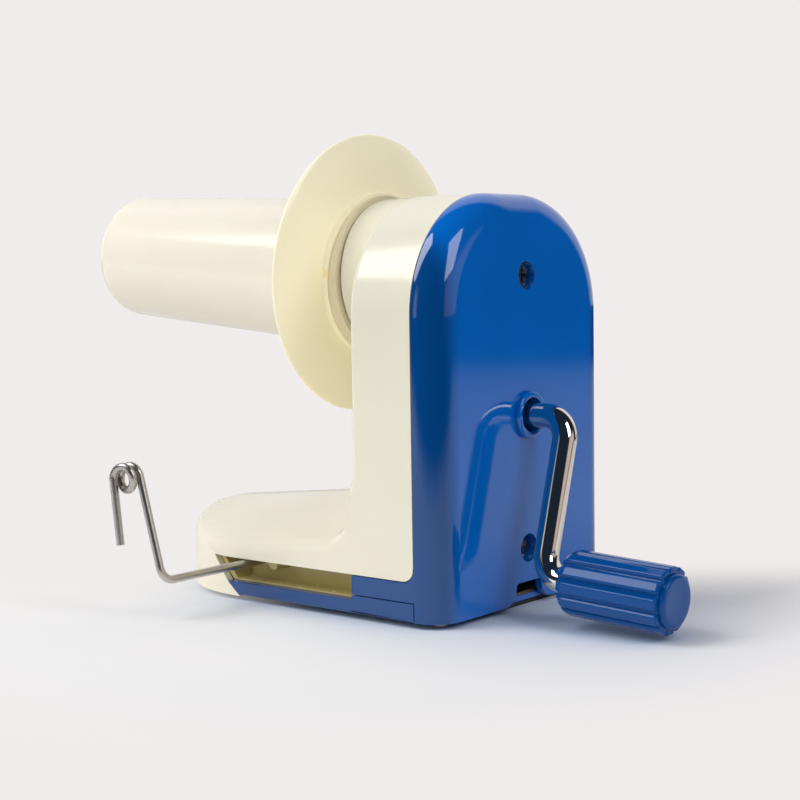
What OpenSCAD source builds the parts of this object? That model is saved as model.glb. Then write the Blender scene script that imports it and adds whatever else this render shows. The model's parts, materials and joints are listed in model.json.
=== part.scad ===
// Hand cranked yarn ball winder: an upright gear tower with a tongue shaped foot,
// a skewed bobbin with a flange disc, a bent crank with a fluted knob and a wire yarn guide.
// Millimetres. X runs along the spindle towards the bobbin tip, Y to the guide side, Z up.
// The origin is the middle of the sole pad, on the table plane.

/* [Tower] */
// rear face of the tower along X
x_rear = -30; // [-40:0.5:-20]
// depth of the rear cover to the parting plane
cover_depth = 12; // [8:0.5:20]
// depth of the whole tower
tower_depth = 40.5; // [36:0.5:60]
// half width of the tower and of the foot
half_w = 53.5; // [45:0.5:60]
// height of the tower top
tower_top = 152.5; // [130:0.5:175]
// radius of the tower's top corners
arch_r = 44; // [30:0.5:50]
// how far the rear face draws in from the parting outline
cover_inset = 11; // [4:0.5:14]
// plastic wall
wall = 3; // [2:0.1:4]
// height of the lower edge of the tower's front shell
shell_edge_z = 16; // [10:0.5:24]
// underside of the plastic base
base_z = 2; // [1:0.1:4]
// seam between the cover's skirt and the base tray
tray_rim_z = 9; // [6:0.5:12]
// visible seam between two plastic shells
seam = 0.3; // [0.1:0.05:0.6]
// rounding of the front shell's lower rear corner
corner_r = 5; // [2:0.5:8]
// radius of the screw wells in the rear face
screw_well_r = 5.2; // [4:0.1:7]
// place of the cover screw as a share of the way up from the clamp plate to the gear wheel
screw_share = 0.65; // [0.5:0.01:0.8]

/* [Foot] */
// centre of the round nose along X
nose_x = 70; // [50:1:90]
// height of the foot's crest where it meets the tower
crest_z = 42; // [28:0.5:48]
// crown radius of the foot's top
crown_r = 100; // [80:1:200]
// fall of the foot's top towards the nose, degrees
foot_fall = 6; // [0:0.5:8]
// fillet between foot and tower
foot_fillet = 12; // [4:0.5:20]
// rear end of the stow slot along X
slot_x0 = 10.8; // [8:0.1:20]
// front end of the stow slot along X
slot_x1 = 74; // [60:0.5:90]
// floor of the stow slot
slot_z0 = 7; // [4:0.5:8]
// depth of the stow slot from the side
slot_deep = 16; // [10:0.5:24]
// thickness of the sole pads
pad_t = 2; // [1:0.1:4]
// half length of the tower's sole pad
pad_half_x = 25.5; // [12:0.5:26]
// half width of the tower's sole pad
pad_half_y = 40; // [20:0.5:44]
// corner radius of the tower's sole pad
pad_round = 6; // [2:0.5:10]
// radius of the nose's round sole pad
pad_r = 13; // [8:0.5:20]

/* [Clamp slot] */
// half width of the clamp notch at its top
notch_half = 7; // [5:0.5:12]
// height of the clamp notch's top
notch_top = 9.8; // [8:0.1:14]
// half width of the clamp notch at its foot
notch_foot = 18; // [12:0.5:24]
// thickness of the steel clamp plate
clamp_t = 1.2; // [0.8:0.1:3]

/* [Gears] */
// gear module
gear_m = 1.36; // [1:0.01:1.6]
// teeth of the gear that drives the hub
n_hub_gear = 57; // [40:1:70]
// teeth of the pinion on the hub
n_hub_pinion = 18; // [14:1:30]
// teeth of the gear that drives the inner shaft
n_shaft_gear = 56; // [40:1:70]
// teeth of the pinion on the inner shaft
n_shaft_pinion = 19; // [14:1:30]
// thinning of each tooth for backlash
backlash = 0.16; // [0.05:0.01:0.4]
// face width of every gear
gear_w = 6.5; // [4:0.1:9]

/* [Spindle] */
// radius of the inner shaft
shaft_r = 4; // [3:0.1:6]
// outer radius of the hub's tube
tube_r = 7; // [6:0.1:9]
// radius of the hub's front journal
journal_r = 20; // [16:0.5:26]
// radius of the tower's front boss
boss_r = 30; // [28:0.1:38]
// length of the front boss
boss_len = 24; // [14:0.5:28]
// skew of the bobbin axis, degrees
skew = 4; // [2:0.1:8]
// point on the spindle axis where the two axes cross, along X
cross_x = 26; // [22:0.5:32]
// running clearance of every shaft, on the radius
run_gap = 0.05; // [0.02:0.01:0.1]
// fitting clearance of fixed pieces, on the radius
fix_gap = 0.05; // [0.02:0.01:0.1]
// open gap between turning faces
face_gap = 0.5; // [0.3:0.05:1]

/* [Bobbin] */
// radius of the flange disc
disc_r = 54; // [45:0.5:60]
// radius of the round hub behind the disc
drum_r = 31.8; // [26:0.1:36]
// thickness of the round hub at its middle
drum_t = 3.53; // [2.8:0.01:8]
// length of the disc and its hub along the skew axis
disc_len = 7.5; // [6:0.5:14]
// bobbin radius at the disc
bobbin_r0 = 29; // [24:0.5:34]
// bobbin radius at the tip
bobbin_r1 = 26; // [20:0.5:30]
// bobbin tip's distance from the crossing point
bobbin_s = 153; // [120:1:190]
// rounding of the bobbin's tip
tip_round = 7; // [3:0.5:10]
// bobbin wall
bobbin_wall = 2.4; // [1.6:0.1:3]
// radius of the bobbin's steel spindle
pin_r = 5; // [4:0.1:7]

/* [Crank] */
// radius of the collar round the crank
collar_r = 8.8; // [7:0.1:12]
// how far the collar stands out of the rear face
collar_proud = 2.4; // [1:0.1:4]
// radius of the crank rod
rod_r = 4.5; // [3.5:0.1:5.5]
// plane of the crank arm along X
arm_x = -47.5; // [-60:0.5:-44]
// throw of the crank
crank_throw = 59.5; // [45:0.5:64]
// lean of the hanging crank arm, degrees
arm_lean = 17; // [0:1:40]
// bend radius of the rod's centre line
bend_r = 9; // [7:0.5:14]
// inner end of the knob along X
knob_x0 = -59; // [-66:0.5:-56]
// length of the knob's fluted body
knob_len = 41; // [30:0.5:55]
// radius over the knob's flutes
knob_r = 11.8; // [9:0.1:13]
// dip of the knob's axis below the level
knob_dip = 2.8; // [0:0.1:6]
// number of flutes on the knob
flutes = 12; // [8:1:16]

/* [Yarn guide] */
// radius of the guide wire
wire_r = 1.5; // [1:0.05:2]
// hinge of the guide along X
guide_x = 64.7; // [50:0.1:72]
// drop of the guide's hinge under the edge and the roof of the stow slot
guide_drop = 1.9; // [1.8:0.05:6]
// reach of the wire from the middle of the foot
guide_reach = 95; // [75:0.1:110]
// lean of the guide's upright, degrees
guide_lean = 16; // [0:1:30]
// height of the eye's start along the upright
guide_up = 39.5; // [25:0.5:60]
// bend radius of the wire
guide_bend = 5; // [3:0.5:8]
// radius of the eye's turns
eye_r = 4.35; // [3:0.05:6]
// rise of the eye per turn
eye_pitch = 3.5; // [3.3:0.05:6]
// turn of the eye, degrees
eye_turn = 531; // [360:1:720]
// length of the free leg
leg_len = 24; // [10:0.5:40]
// sides of the wire's section
wire_sides = 12; // [8:2:16]

/* [Hidden] */
$fn = 96;
// planes of the tower along X
x_part = x_rear + cover_depth;
x_front = x_rear + tower_depth;
x_boss = x_front + boss_len;
x_in = x_rear + wall;
lap = wall / 6;
// axes
spindle_z = tower_top - boss_r;
gear_cd = gear_m * (n_hub_gear + n_hub_pinion) / 2;
crank_z = spindle_z - gear_cd;
// seats inside the rear cover
seat_wall = wall;
seat_len = 2 * wall + 0.4;
well_deep = 2 * wall;
well_wall = wall * 2 / 3;
cover_hole_r = 2.2;
// self tapping screws
screw_r = 1.5;
screw_head_r = 4;
screw_head_t = 2.5;
screw_len = 20;
slot_w = 1;
slot_cut = 1;
post_r = 3 * screw_r;
foot_post_r = 3.6;
base_screw_r = 1.6;
base_screw_len = 6.5;
base_head_r = 3.2;
base_head_z = 0.4;
cover_post_h = 10;
// bushes
bush_r = rod_r + wall;
bush_len = 9;
collar_bore_r = rod_r + 1.9;
collar_bore_t = 1.9;
front_bush_r = rod_r + 3.5;
rear_bush_r = shaft_r + 2;
rear_bush_len = 4;
rear_bush_x = x_rear + well_deep - 1;
hub_bush_t = 2;
hub_bush_x = x_front + 5;
// gears
ring_t = 0.8;
ring_r = rod_r + 2.7;
ring_x = x_rear + collar_proud + bush_len - 2.3;
shaft_gear_x = ring_x + ring_t + 0.1;
gear_step = 2.5;
hub_gear_x = shaft_gear_x + gear_w + gear_step;
gear_hub_r = rod_r + 3.5;
gear_hub_len = 4.8;
front_bush_x = hub_gear_x + gear_w + gear_hub_len + 0.2;
dish_deep = 2;
dish_r = 13;
dish_rim = 6;
light_r = 6;
light_at = 22;
light_n = 6;
// dog coupling
cup_r = 12.2;
cup_in_r = 9.5;
cup_x = cross_x - 12;
cup_end = cross_x + 3;
cup_floor = 6;
rib_in_r = 6.4;
rib_w = 2.6;
dogs = 6;
cross_r = pin_r + 1;
cross_t = 4;
dog_r = 8.8;
cavity_r = cup_r + 0.8;
cup_gap = 0.6;
sleeve_x = x_front + 1.5;
sleeve_end = x_boss + 0.4;
skew_x = sleeve_end + fix_gap;
drum_s = (skew_x - cross_x) / cos(skew) + drum_t;
skew_bush_r = pin_r + 3;
skew_boss_r = skew_bush_r + 4;
bush_s0 = drum_s - 3.5;
bush_s1 = bush_s0 + 20;
hub_inset = 0.3;
// bobbin
disc_s = drum_s + face_gap;
disc_front_s = disc_s + disc_len;
disc_bore_r = skew_boss_r + 1;
disc_floor = 3;
disc_dish = [[0, 2.6], [0.28, 2.9], [0.55, 3.5], [0.775, 4.4], [0.93, 5.5], [0.985, 6.1], [1, 6.6]];
core_s0 = disc_front_s + 13.5;
core_len = 62;
core_s1 = core_s0 + core_len;
core_r = pin_r + 4;
core_web = 3;
core_hole_r = 5;
core_hole_at = 17;
pin_s0 = -3;
pin_s1 = core_s1 + 2;
nut_r = pin_r + 2;
washer_t = 1.2;
nut_t = 2.5;
nut_cap = 1.4;
cap_r = 12;
cap_flange = 3;
cap_t = 1.5;
cap_sunk = 0.6;
yarn_slit = 1.8;
yarn_slit_len = 26;
// knob
knob_x1 = knob_x0 - knob_len;
knob_mid = (knob_x0 + knob_x1) / 2;
// straight part of the crank's leg up to the knob's middle, and of its arm down to the bend
leg_in = (arm_x - knob_mid - bend_r * (1 - sin(knob_dip))) / cos(knob_dip);
arm_down = crank_throw - bend_r * cos(knob_dip) - leg_in * sin(knob_dip);
knob_y = crank_throw * sin(arm_lean);
knob_z = crank_z - crank_throw * cos(arm_lean);
flute_r = 1.8;
knob_body_r = knob_r - 1.2;
knob_neck_r = knob_r - 3.2;
knob_taper = 4;
knob_end_t = 2;
knob_cap_r = knob_r - 2.4;
knob_plug_r = 7;
knob_well = 6.3;
knob_screw_t = 2.4;
knob_rod_in = 6;
// base
floor_t = 2;
tray_gap = 0.6;
tray_in = half_w - wall - tray_gap;
tray_top = base_z + floor_t + fix_gap;
tray_lap = 7;
shell_low = base_z - 0.4;
post_x = x_rear + 8;
post_y = half_w - 9.5;
foot_post_in = 29.5;
foot_post_far = 13.5;
foot_post_x = x_front + foot_post_in;
screw_posts = [[post_x, post_y], [post_x, -post_y],
  [foot_post_x, half_w - foot_post_in], [foot_post_x, foot_post_far - half_w]];
clamp_len = 18;
clamp_half = 15;
clamp_top = tray_top + clamp_t;
screw_z = clamp_top + screw_share * (crank_z - gear_m * (n_hub_gear / 2 + 1) - clamp_top);
pad_nose_x = nose_x + half_w / 2 - 0.75;
// liner of the stow slot, kept under the crown at the slot's front end
pocket_y = half_w - slot_deep;
pocket_y1 = half_w - wall - tray_gap;
pocket_top = crest_z - wall - (slot_x1 - x_front) * tan(foot_fall)
  - (crown_r - sqrt(pow(crown_r, 2) - pow(half_w - wall, 2))) - seam;
pocket_wall = 2;
pocket_roof = 1.5;
guide_z = min(pocket_top - pocket_roof, shell_edge_z + seam) - guide_drop;
rest_r = 2.2;
rest_len = 9;
rest_x = guide_x - 9.5;
rest_z = guide_z - 0.3;
// guide bearing
guide_bush_r = 2 * wire_r + 0.1;
guide_bush_y = pocket_y - 13;
guide_bush_len = 15;
guide_flange_r = 5;
guide_flange_t = 2;
clip_y = guide_bush_y - 4.5;
clip_t = 0.9;
clip_r = 4.2;
groove_r = wire_r - 0.3;
guide_in_y = clip_y - 18;
reach = 200;

// geometry helpers
module along_x(x, z, y = 0) { translate([x, y, z]) rotate([0, 90, 0]) children(); }
module along_y(x, y, z) { translate([x, y, z]) rotate([-90, 0, 0]) children(); }
module on_knob(x) {
  translate([knob_mid, knob_y, knob_z]) rotate([arm_lean, 0, 0]) rotate([0, 90 - knob_dip, 0])
    translate([0, 0, x - knob_mid]) children();
}
module on_skew(s = 0) {
  translate([cross_x, 0, spindle_z]) rotate([0, 90 - skew, 0]) translate([0, 0, s]) children();
}
module push_x(x0, x1) { translate([x0, 0, 0]) rotate([90, 0, 90]) linear_extrude(height = x1 - x0) children(); }
module tower2d(inset, z0) {
  w = half_w - inset;
  c = half_w - arch_r;
  translate([-w, z0]) square([2 * w, tower_top - arch_r - z0]);
  translate([-c, z0]) square([2 * c, tower_top - inset - z0]);
  for (s = [-1, 1]) translate([s * c, tower_top - arch_r]) circle(r = arch_r - inset);
}
// quarter ellipse along which the rear cover draws in, from the rear face to the parting plane
function draw_in(r, inset, depth) = [for (a = [90 : -10 : 0])
  [r - (cover_inset - inset / 2) * (1 - cos(a)), x_rear + inset + (depth - inset) * (1 - sin(a))]];
// pillow shaped solid of the rear cover: two round corners, a top strip and the straight flanks
module cover_solid(inset, depth, z0) {
  c = half_w - arch_r;
  zc = tower_top - arch_r;
  corner = draw_in(arch_r - inset, inset, depth);
  x0 = x_rear + inset;
  x1 = x_rear + depth;
  for (s = [-1, 1]) translate([0, s * c, zc]) rotate([0, 90, 0]) rotate_extrude()
    polygon(concat([[0, x0]], corner, [[0, x1]]));
  translate([0, -c, zc]) rotate([-90, 0, 0]) linear_extrude(height = 2 * c)
    polygon(concat([[x0, lap]], [for (q = corner) [q[1], -q[0]]], [[x1, lap]]));
  translate([0, 0, z0]) linear_extrude(height = zc - z0)
    cover_plan(inset, depth);
}
// plan of the rear cover with its drawn in flanks
module cover_plan(inset, depth) {
  flank = draw_in(half_w - inset, inset, depth);
  n = len(flank) - 1;
  polygon(concat([for (q = flank) [q[1], q[0]]], [for (i = [n : -1 : 0]) [flank[i][1], -flank[i][0]]]));
}
// side view of the rounded corner between skirt and front shell, for a corner at x, z
module corner_fill(r, x, z) {
  polygon(concat([[x - lap, z - lap], [x - lap, z + r]],
    [for (a = [0 : 15 : 90]) [x + r * (1 - cos(a)), z + r * (1 - sin(a))]], [[x + r, z - lap]]));
}
module push_y(y0, y1) { translate([0, y1, 0]) rotate([90, 0, 0]) linear_extrude(height = y1 - y0) children(); }
function inv(a) = tan(a) * 180 / PI - a;
// half angle of a tooth at radius r, for n teeth
function half_at(n, r) =
  let (rp = gear_m * n / 2, rb = rp * cos(20), q = max(r, rb))
  ((PI * gear_m / 2 - backlash) / (2 * rp)) * 180 / PI + inv(20) - inv(acos(rb / q));
module gear2d(n, phase) {
  rp = gear_m * n / 2;
  rb = rp * cos(20);
  rt = rp + gear_m;
  rr = rp - 1.25 * gear_m;
  rl = max(rb, rr + 0.2);
  radii = [rr, rl, rp, rt];
  polygon([for (i = [0 : n - 1]) for (k = [0 : 7])
    let (r = k < 4 ? radii[k] : radii[7 - k],
         h = half_at(n, r),
         a = phase + 360 * i / n + (k < 4 ? -h : h))
    [r * cos(a), r * sin(a)]]);
}
module ring(r1, r0, h) {
  difference() {
    cylinder(r = r1, h = h);
    translate([0, 0, -1]) cylinder(r = r0, h = h + 2);
  }
}
// crossed driver slots of a screw whose head starts at x
module driver_slots(x, z, half) {
  for (a = [0, 90]) translate([x - slot_cut, 0, z]) rotate([a, 0, 0]) translate([0, -half, -slot_w / 2])
    cube([2 * slot_cut, 2 * half, slot_w]);
}
// the same piece on both sides of the middle plane
module both_sides() { for (s = [0, 1]) mirror([0, s, 0]) children(); }

// fixed shells
module rear_cover() color([0.0, 0.28, 0.60]) {
  difference() {
    union() {
      difference() {
        cover_solid(0, cover_depth, base_z);
        cover_solid(wall, cover_depth + 1, base_z - 1);
      }
      // skirt that runs forward under the front shell, filled out at the shell's rounded corner
      both_sides() {
        translate([x_part - lap, half_w - wall, tray_rim_z])
          cube([slot_x0 - x_part + lap, wall, shell_edge_z - tray_rim_z]);
        push_y(half_w - wall, half_w) corner_fill(corner_r, x_part, shell_edge_z);
      }
      along_x(x_in - lap, crank_z) cylinder(r = bush_r + seat_wall, h = seat_len);
      along_x(x_in - lap, spindle_z) cylinder(r = rear_bush_r + seat_wall, h = seat_len);
      along_x(x_in - lap, screw_z) cylinder(r = screw_well_r + well_wall, h = seat_len - 1);
      // posts of the base screws
      both_sides() {
        translate([post_x, post_y, tray_top]) cylinder(r = foot_post_r, h = cover_post_h);
        translate([x_in - lap, post_y - lap, tray_top]) cube([post_x - x_in + lap, 2 * lap, cover_post_h]);
      }
    }
    both_sides() translate([post_x, post_y, 0])
      cylinder(r = base_screw_r + fix_gap, h = tray_top + cover_post_h - 1);
    along_x(x_rear - 1, crank_z) cylinder(r = bush_r + fix_gap, h = cover_depth + 1);
    along_x(x_rear - 1, spindle_z) cylinder(r = screw_well_r, h = well_deep + 1);
    along_x(rear_bush_x, spindle_z) cylinder(r = rear_bush_r + fix_gap, h = cover_depth);
    along_x(x_rear - 1, screw_z) cylinder(r = screw_well_r, h = well_deep + 1);
    along_x(x_rear - 1, screw_z) cylinder(r = cover_hole_r, h = cover_depth + 1);
    // notch for the table clamp
    push_x(x_rear - 1, x_rear + cover_depth - 1) both_sides_2d() notch_half_2d();
  }
}
// right half of the clamp notch, a top with a flared foot
module notch_half_2d() {
  flare = notch_foot - notch_half;
  polygon([[-lap, 0], [-lap, notch_top], [notch_half, notch_top],
    for (a = [0 : 15 : 90]) [notch_half + flare * (0.1 + 0.9 * (1 - cos(a))),
                             base_z + (notch_top - base_z - 1.2) * (1 - sin(a))], [notch_foot, 0]]);
}
module both_sides_2d() { for (s = [0, 1]) mirror([s, 0]) children(); }
// tongue shaped plan of the foot, drawn in by i
module foot_plan(i, x0) {
  translate([x0, -half_w + i]) square([nose_x - x0, 2 * (half_w - i)]);
  translate([nose_x, 0]) circle(r = half_w - i);
}
// crowned block under the foot's top surface, lowered by i
module crown(i) {
  translate([x_front, 0, crest_z - i]) rotate([0, foot_fall, 0]) translate([-reach / 3, 0, -crown_r])
    rotate([0, 90, 0]) cylinder(r = crown_r, h = reach * 4 / 3, $fn = 180);
}
module front_shell() color([0.92, 0.90, 0.82]) {
  seat_r = journal_r + hub_bush_t;
  difference() {
    union() {
      push_x(x_part + seam, x_front) tower2d(0, shell_edge_z + seam);
      intersection() {
        translate([0, 0, shell_low]) linear_extrude(height = 2 * crest_z) foot_plan(0, x_front - 2);
        crown(0);
      }
      // fillet between foot and tower
      intersection() {
        translate([x_front - 1, -half_w, crest_z / 2]) cube([foot_fillet + 1, 2 * half_w, 2 * crest_z]);
        translate([x_front, 0, crest_z - crown_r]) rotate([0, 90, 0]) rotate_extrude($fn = 180)
          difference() {
            translate([crown_r - wall, -1]) square([foot_fillet + wall, foot_fillet + 1]);
            translate([crown_r + foot_fillet, foot_fillet]) circle(r = foot_fillet);
            translate([crown_r + foot_fillet, -2]) square([1, foot_fillet + 4]);
          }
      }
      along_x(x_front - 1, spindle_z) cylinder(r = boss_r, h = boss_len + 1);
    }
    // tower cavity, open to the rear and to the foot
    push_x(x_part, x_front - wall) tower2d(wall, 0);
    // foot cavity
    intersection() {
      translate([0, 0, -1]) linear_extrude(height = 2 * crest_z) foot_plan(wall, x_front - wall - 1);
      crown(wall);
      translate([x_front - wall - lap, -half_w, -2]) cube([reach, 2 * half_w, 2 * crest_z]);
    }
    // boss cavity behind the bush seat, and the seat's bore
    along_x(x_front - wall - 1, spindle_z) cylinder(r = boss_r - wall, h = boss_len - 3);
    along_x(x_front, spindle_z) cylinder(r = seat_r + fix_gap, h = boss_len + 1);
    // stow slot on the guide side, the low edge on the other side and the space of the skirt
    translate([x_front - 2, half_w - wall - 1, -1])
      cube([slot_x1 - x_front + 2, 2 * wall, shell_edge_z + seam + 1]);
    translate([x_front - 2, -half_w - 1, -1]) cube([slot_x1 - x_front + 2, wall + 2, slot_z0 + seam + 1]);
    translate([x_front - 4, -half_w - 1, -1])
      cube([slot_x0 + seam - x_front + 4, 2 * half_w + 2, shell_edge_z + seam + 1]);
    push_y(-half_w - 1, half_w + 1) corner_fill(corner_r - seam, x_part + seam, shell_edge_z + seam);
  }
  // bush seat in the boss
  along_x(hub_bush_x, spindle_z) ring(seat_r + seat_wall, seat_r + fix_gap, boss_len - 6);
  // socket of the crank's front bush
  along_x(front_bush_x + 1, crank_z)
    ring(front_bush_r + seat_wall, front_bush_r + fix_gap, x_front - wall - front_bush_x - 1 + lap);
  // post of the cover screw
  along_x(x_rear + well_deep + well_wall + fix_gap, screw_z)
    ring(post_r, screw_r + fix_gap, x_front - wall - x_rear - well_deep - well_wall - fix_gap + lap);
  // posts of the base screws
  intersection() {
    crown(wall / 2);
    for (k = [2, 3]) translate([screw_posts[k][0], screw_posts[k][1], tray_top])
      ring(foot_post_r, base_screw_r + fix_gap, crest_z);
  }
}
module base_tray() color([0.0, 0.25, 0.55]) {
  lip_len = slot_x1 - slot_x0 - seam + lap;
  difference() {
    union() {
      translate([0, 0, base_z]) linear_extrude(height = floor_t) {
        translate([x_part, -tray_in]) square([nose_x - x_part, 2 * tray_in]);
        translate([nose_x, 0]) circle(r = tray_in);
        // rear end, drawn in with the cover's flanks
        cover_plan(wall + tray_gap, cover_depth + 1);
      }
      // rim below the cover's skirt
      both_sides() {
        translate([x_part + seam, half_w - wall, base_z])
          cube([slot_x0 - x_part - seam, wall, tray_rim_z - seam - base_z]);
        translate([x_part + seam, half_w - tray_lap, base_z])
          cube([slot_x0 - x_part - seam, tray_lap - 1, floor_t]);
      }
      // floor lip of the stow slot and the lip across from it
      translate([slot_x0 - lap, pocket_y, base_z]) cube([lip_len, slot_deep, slot_z0 - base_z]);
      translate([slot_x0 - lap, -half_w, base_z]) cube([lip_len, tray_lap, slot_z0 - base_z]);
    }
    for (p = screw_posts) translate([p[0], p[1], 0]) cylinder(r = base_screw_r + 2 * fix_gap, h = tray_rim_z);
  }
}
// liner of the stow slot
module stow_pocket() color([0.88, 0.86, 0.76]) {
  len = slot_x1 - slot_x0 - seam;
  z0 = slot_z0 + fix_gap;
  difference() {
    union() {
      translate([slot_x0, pocket_y, z0]) cube([len, pocket_wall, pocket_top - z0]);
      translate([slot_x0, pocket_y, pocket_top - pocket_roof]) cube([len, pocket_y1 - pocket_y, pocket_roof]);
      for (x = [0, len - pocket_wall]) translate([slot_x0 + x, pocket_y, z0])
        cube([pocket_wall, pocket_y1 - pocket_y, pocket_top - z0]);
      // rest for the folded wire
      along_y(rest_x, pocket_y + 1, rest_z) cylinder(r = rest_r, h = rest_len);
    }
    along_y(guide_x, pocket_y - 1, guide_z) cylinder(r = guide_bush_r + fix_gap, h = pocket_wall + 2);
  }
}
module sole_pads() color([0.10, 0.10, 0.11]) {
  linear_extrude(height = pad_t) offset(r = pad_round)
    square([2 * (pad_half_x - pad_round), 2 * (pad_half_y - pad_round)], center = true);
  translate([pad_nose_x, 0, 0]) cylinder(r = pad_r, h = pad_t);
}
module cover_screw() color([0.62, 0.62, 0.64]) {
  head_x = x_rear + well_deep - screw_head_t;
  difference() {
    union() {
      along_x(head_x, screw_z) cylinder(r = screw_head_r, h = screw_head_t - fix_gap);
      along_x(head_x + 1, screw_z) cylinder(r = screw_r, h = screw_len);
    }
    driver_slots(head_x, screw_z, screw_head_r * 0.6);
  }
}
module base_screws() color([0.55, 0.55, 0.57]) {
  for (p = screw_posts) translate([p[0], p[1], 0]) {
    translate([0, 0, base_head_z]) cylinder(r = base_head_r, h = base_z - base_head_z - fix_gap);
    translate([0, 0, base_z - lap]) cylinder(r = base_screw_r, h = base_screw_len + lap);
  }
}
module clamp_plate() color([0.45, 0.36, 0.28])
  translate([x_in + tray_gap, -clamp_half, tray_top]) cube([clamp_len, 2 * clamp_half, clamp_t]);
module crank_bush() color([0.02, 0.26, 0.56]) {
  difference() {
    union() {
      along_x(x_rear - collar_proud, crank_z) cylinder(r = collar_r, h = collar_proud - fix_gap);
      along_x(x_rear - lap, crank_z) cylinder(r = bush_r, h = bush_len + lap);
    }
    along_x(x_rear - collar_proud - 1, crank_z) cylinder(r = collar_bore_r, h = collar_bore_t + 1);
    along_x(x_rear - collar_proud - 1, crank_z) cylinder(r = rod_r + run_gap, h = bush_len + collar_proud + 2);
  }
}
module crank_front_bush() color([0.85, 0.83, 0.75])
  along_x(front_bush_x, crank_z) ring(front_bush_r, rod_r + run_gap, x_front - wall - front_bush_x - fix_gap);
module shaft_rear_bush() color([0.85, 0.83, 0.75])
  along_x(rear_bush_x + fix_gap, spindle_z) ring(rear_bush_r, shaft_r + run_gap, rear_bush_len);
module hub_front_bush() color([0.85, 0.83, 0.75])
  along_x(hub_bush_x, spindle_z) ring(journal_r + hub_bush_t, journal_r + run_gap, x_boss - hub_bush_x);
module guide_bush() color([0.80, 0.80, 0.78]) {
  along_y(guide_x, guide_bush_y, guide_z) ring(guide_bush_r, wire_r + run_gap, guide_bush_len);
  along_y(guide_x, pocket_y - guide_flange_t, guide_z)
    ring(guide_flange_r, wire_r + run_gap, guide_flange_t - fix_gap);
}
// crank
module crank_rod() color([0.75, 0.74, 0.72]) {
  rod_end = x_front - wall - 1.5;
  n = 0.02;
  neck = rod_r - 0.25;
  tie = 2;
  straight = arm_x + bend_r;
  along_x(straight + n, crank_z) cylinder(r = rod_r, h = rod_end - straight - n);
  along_x(straight - tie / 3, crank_z) cylinder(r = neck, h = tie);
  translate([straight, 0, crank_z]) rotate([arm_lean, 0, 0]) {
    rotate([90, 0, 0]) translate([0, -bend_r, 0]) rotate([0, 0, 90]) rod_bend(90);
    translate([-bend_r, 0, n - arm_down]) cylinder(r = rod_r, h = arm_down - bend_r - 2 * n);
    translate([-bend_r, 0, -arm_down - tie / 3]) cylinder(r = neck, h = tie);
    translate([-bend_r, 0, -bend_r - tie * 2 / 3]) cylinder(r = neck, h = tie);
    translate([-2 * bend_r, 0, -arm_down]) rotate([90, 0, 0]) rotate([0, 0, knob_dip - 90])
      rod_bend(90 - knob_dip);
  }
  on_knob(knob_x1 + knob_rod_in) cylinder(r = rod_r, h = knob_mid + leg_in - knob_x1 - knob_rod_in - n);
  on_knob(knob_mid + leg_in - tie * 2 / 3) cylinder(r = neck, h = tie);
}
module rod_bend(turn) { rotate_extrude(angle = turn) translate([bend_r, 0]) circle(r = rod_r, $fn = 48); }
module wheel(n, phase, x) {
  along_x(x, crank_z) difference() {
    linear_extrude(height = gear_w) gear2d(n, phase);
    translate([0, 0, -1]) cylinder(r = rod_r + fix_gap, h = gear_w + 2);
    translate([0, 0, gear_w - dish_deep]) ring(gear_m * n / 2 - dish_rim, dish_r, 2 * dish_deep);
    for (k = [0 : light_n - 1]) rotate([0, 0, 360 * k / light_n]) translate([light_at, 0, -1])
      cylinder(r = light_r, h = gear_w + 2);
  }
}
module hub_drive_gear() color([0.90, 0.88, 0.80]) {
  wheel(n_hub_gear, 180, hub_gear_x);
  along_x(hub_gear_x + gear_w - lap, crank_z) ring(gear_hub_r, rod_r + fix_gap, gear_hub_len + lap);
}
module shaft_drive_gear() color([0.90, 0.88, 0.80]) {
  wheel(n_shaft_gear, 180, shaft_gear_x);
  along_x(shaft_gear_x + gear_w - lap, crank_z) ring(gear_hub_r, rod_r + fix_gap, gear_step + lap - 0.1);
}
module crank_ring() color([0.40, 0.40, 0.42])
  along_x(ring_x, crank_z) ring(ring_r, rod_r + fix_gap, ring_t);
module knob_screw() color([0.62, 0.62, 0.64])
  on_knob(knob_x1 + knob_rod_in - knob_screw_t)
    cylinder(r = knob_plug_r - 0.6, h = knob_screw_t - fix_gap);
module knob_grip() color([0.10, 0.33, 0.62]) {
  flute_at = knob_r - flute_r;
  on_knob(knob_x1) difference() {
    union() {
      rotate_extrude() polygon([[0, 0], [knob_body_r - 0.2, 0], [knob_body_r, knob_end_t],
        [knob_body_r, knob_len - knob_taper], [knob_body_r - 0.5, knob_len - knob_taper / 2],
        [knob_neck_r + 0.8, knob_len - knob_taper / 8], [knob_neck_r, knob_len], [0, knob_len]]);
      for (k = [0 : flutes - 1]) rotate([0, 0, 360 * k / flutes]) {
        translate([flute_at, 0, knob_end_t - 0.5])
          cylinder(r = flute_r, h = knob_len - knob_taper - 1, $fn = 24);
        translate([flute_at, 0, knob_len - knob_taper + 0.5]) sphere(r = flute_r, $fn = 24);
      }
    }
    translate([0, 0, -1]) cylinder(r = rod_r + run_gap, h = knob_len + 2);
    translate([0, 0, -1]) cylinder(r = knob_plug_r, h = knob_well + 1);
  }
}
module knob_cap() color([0.10, 0.33, 0.62])
  on_knob(knob_x1) {
    translate([0, 0, -knob_end_t]) cylinder(r = knob_cap_r, h = knob_end_t - fix_gap);
    translate([0, 0, -lap]) cylinder(r = knob_plug_r - fix_gap, h = knob_end_t + lap);
  }
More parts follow.
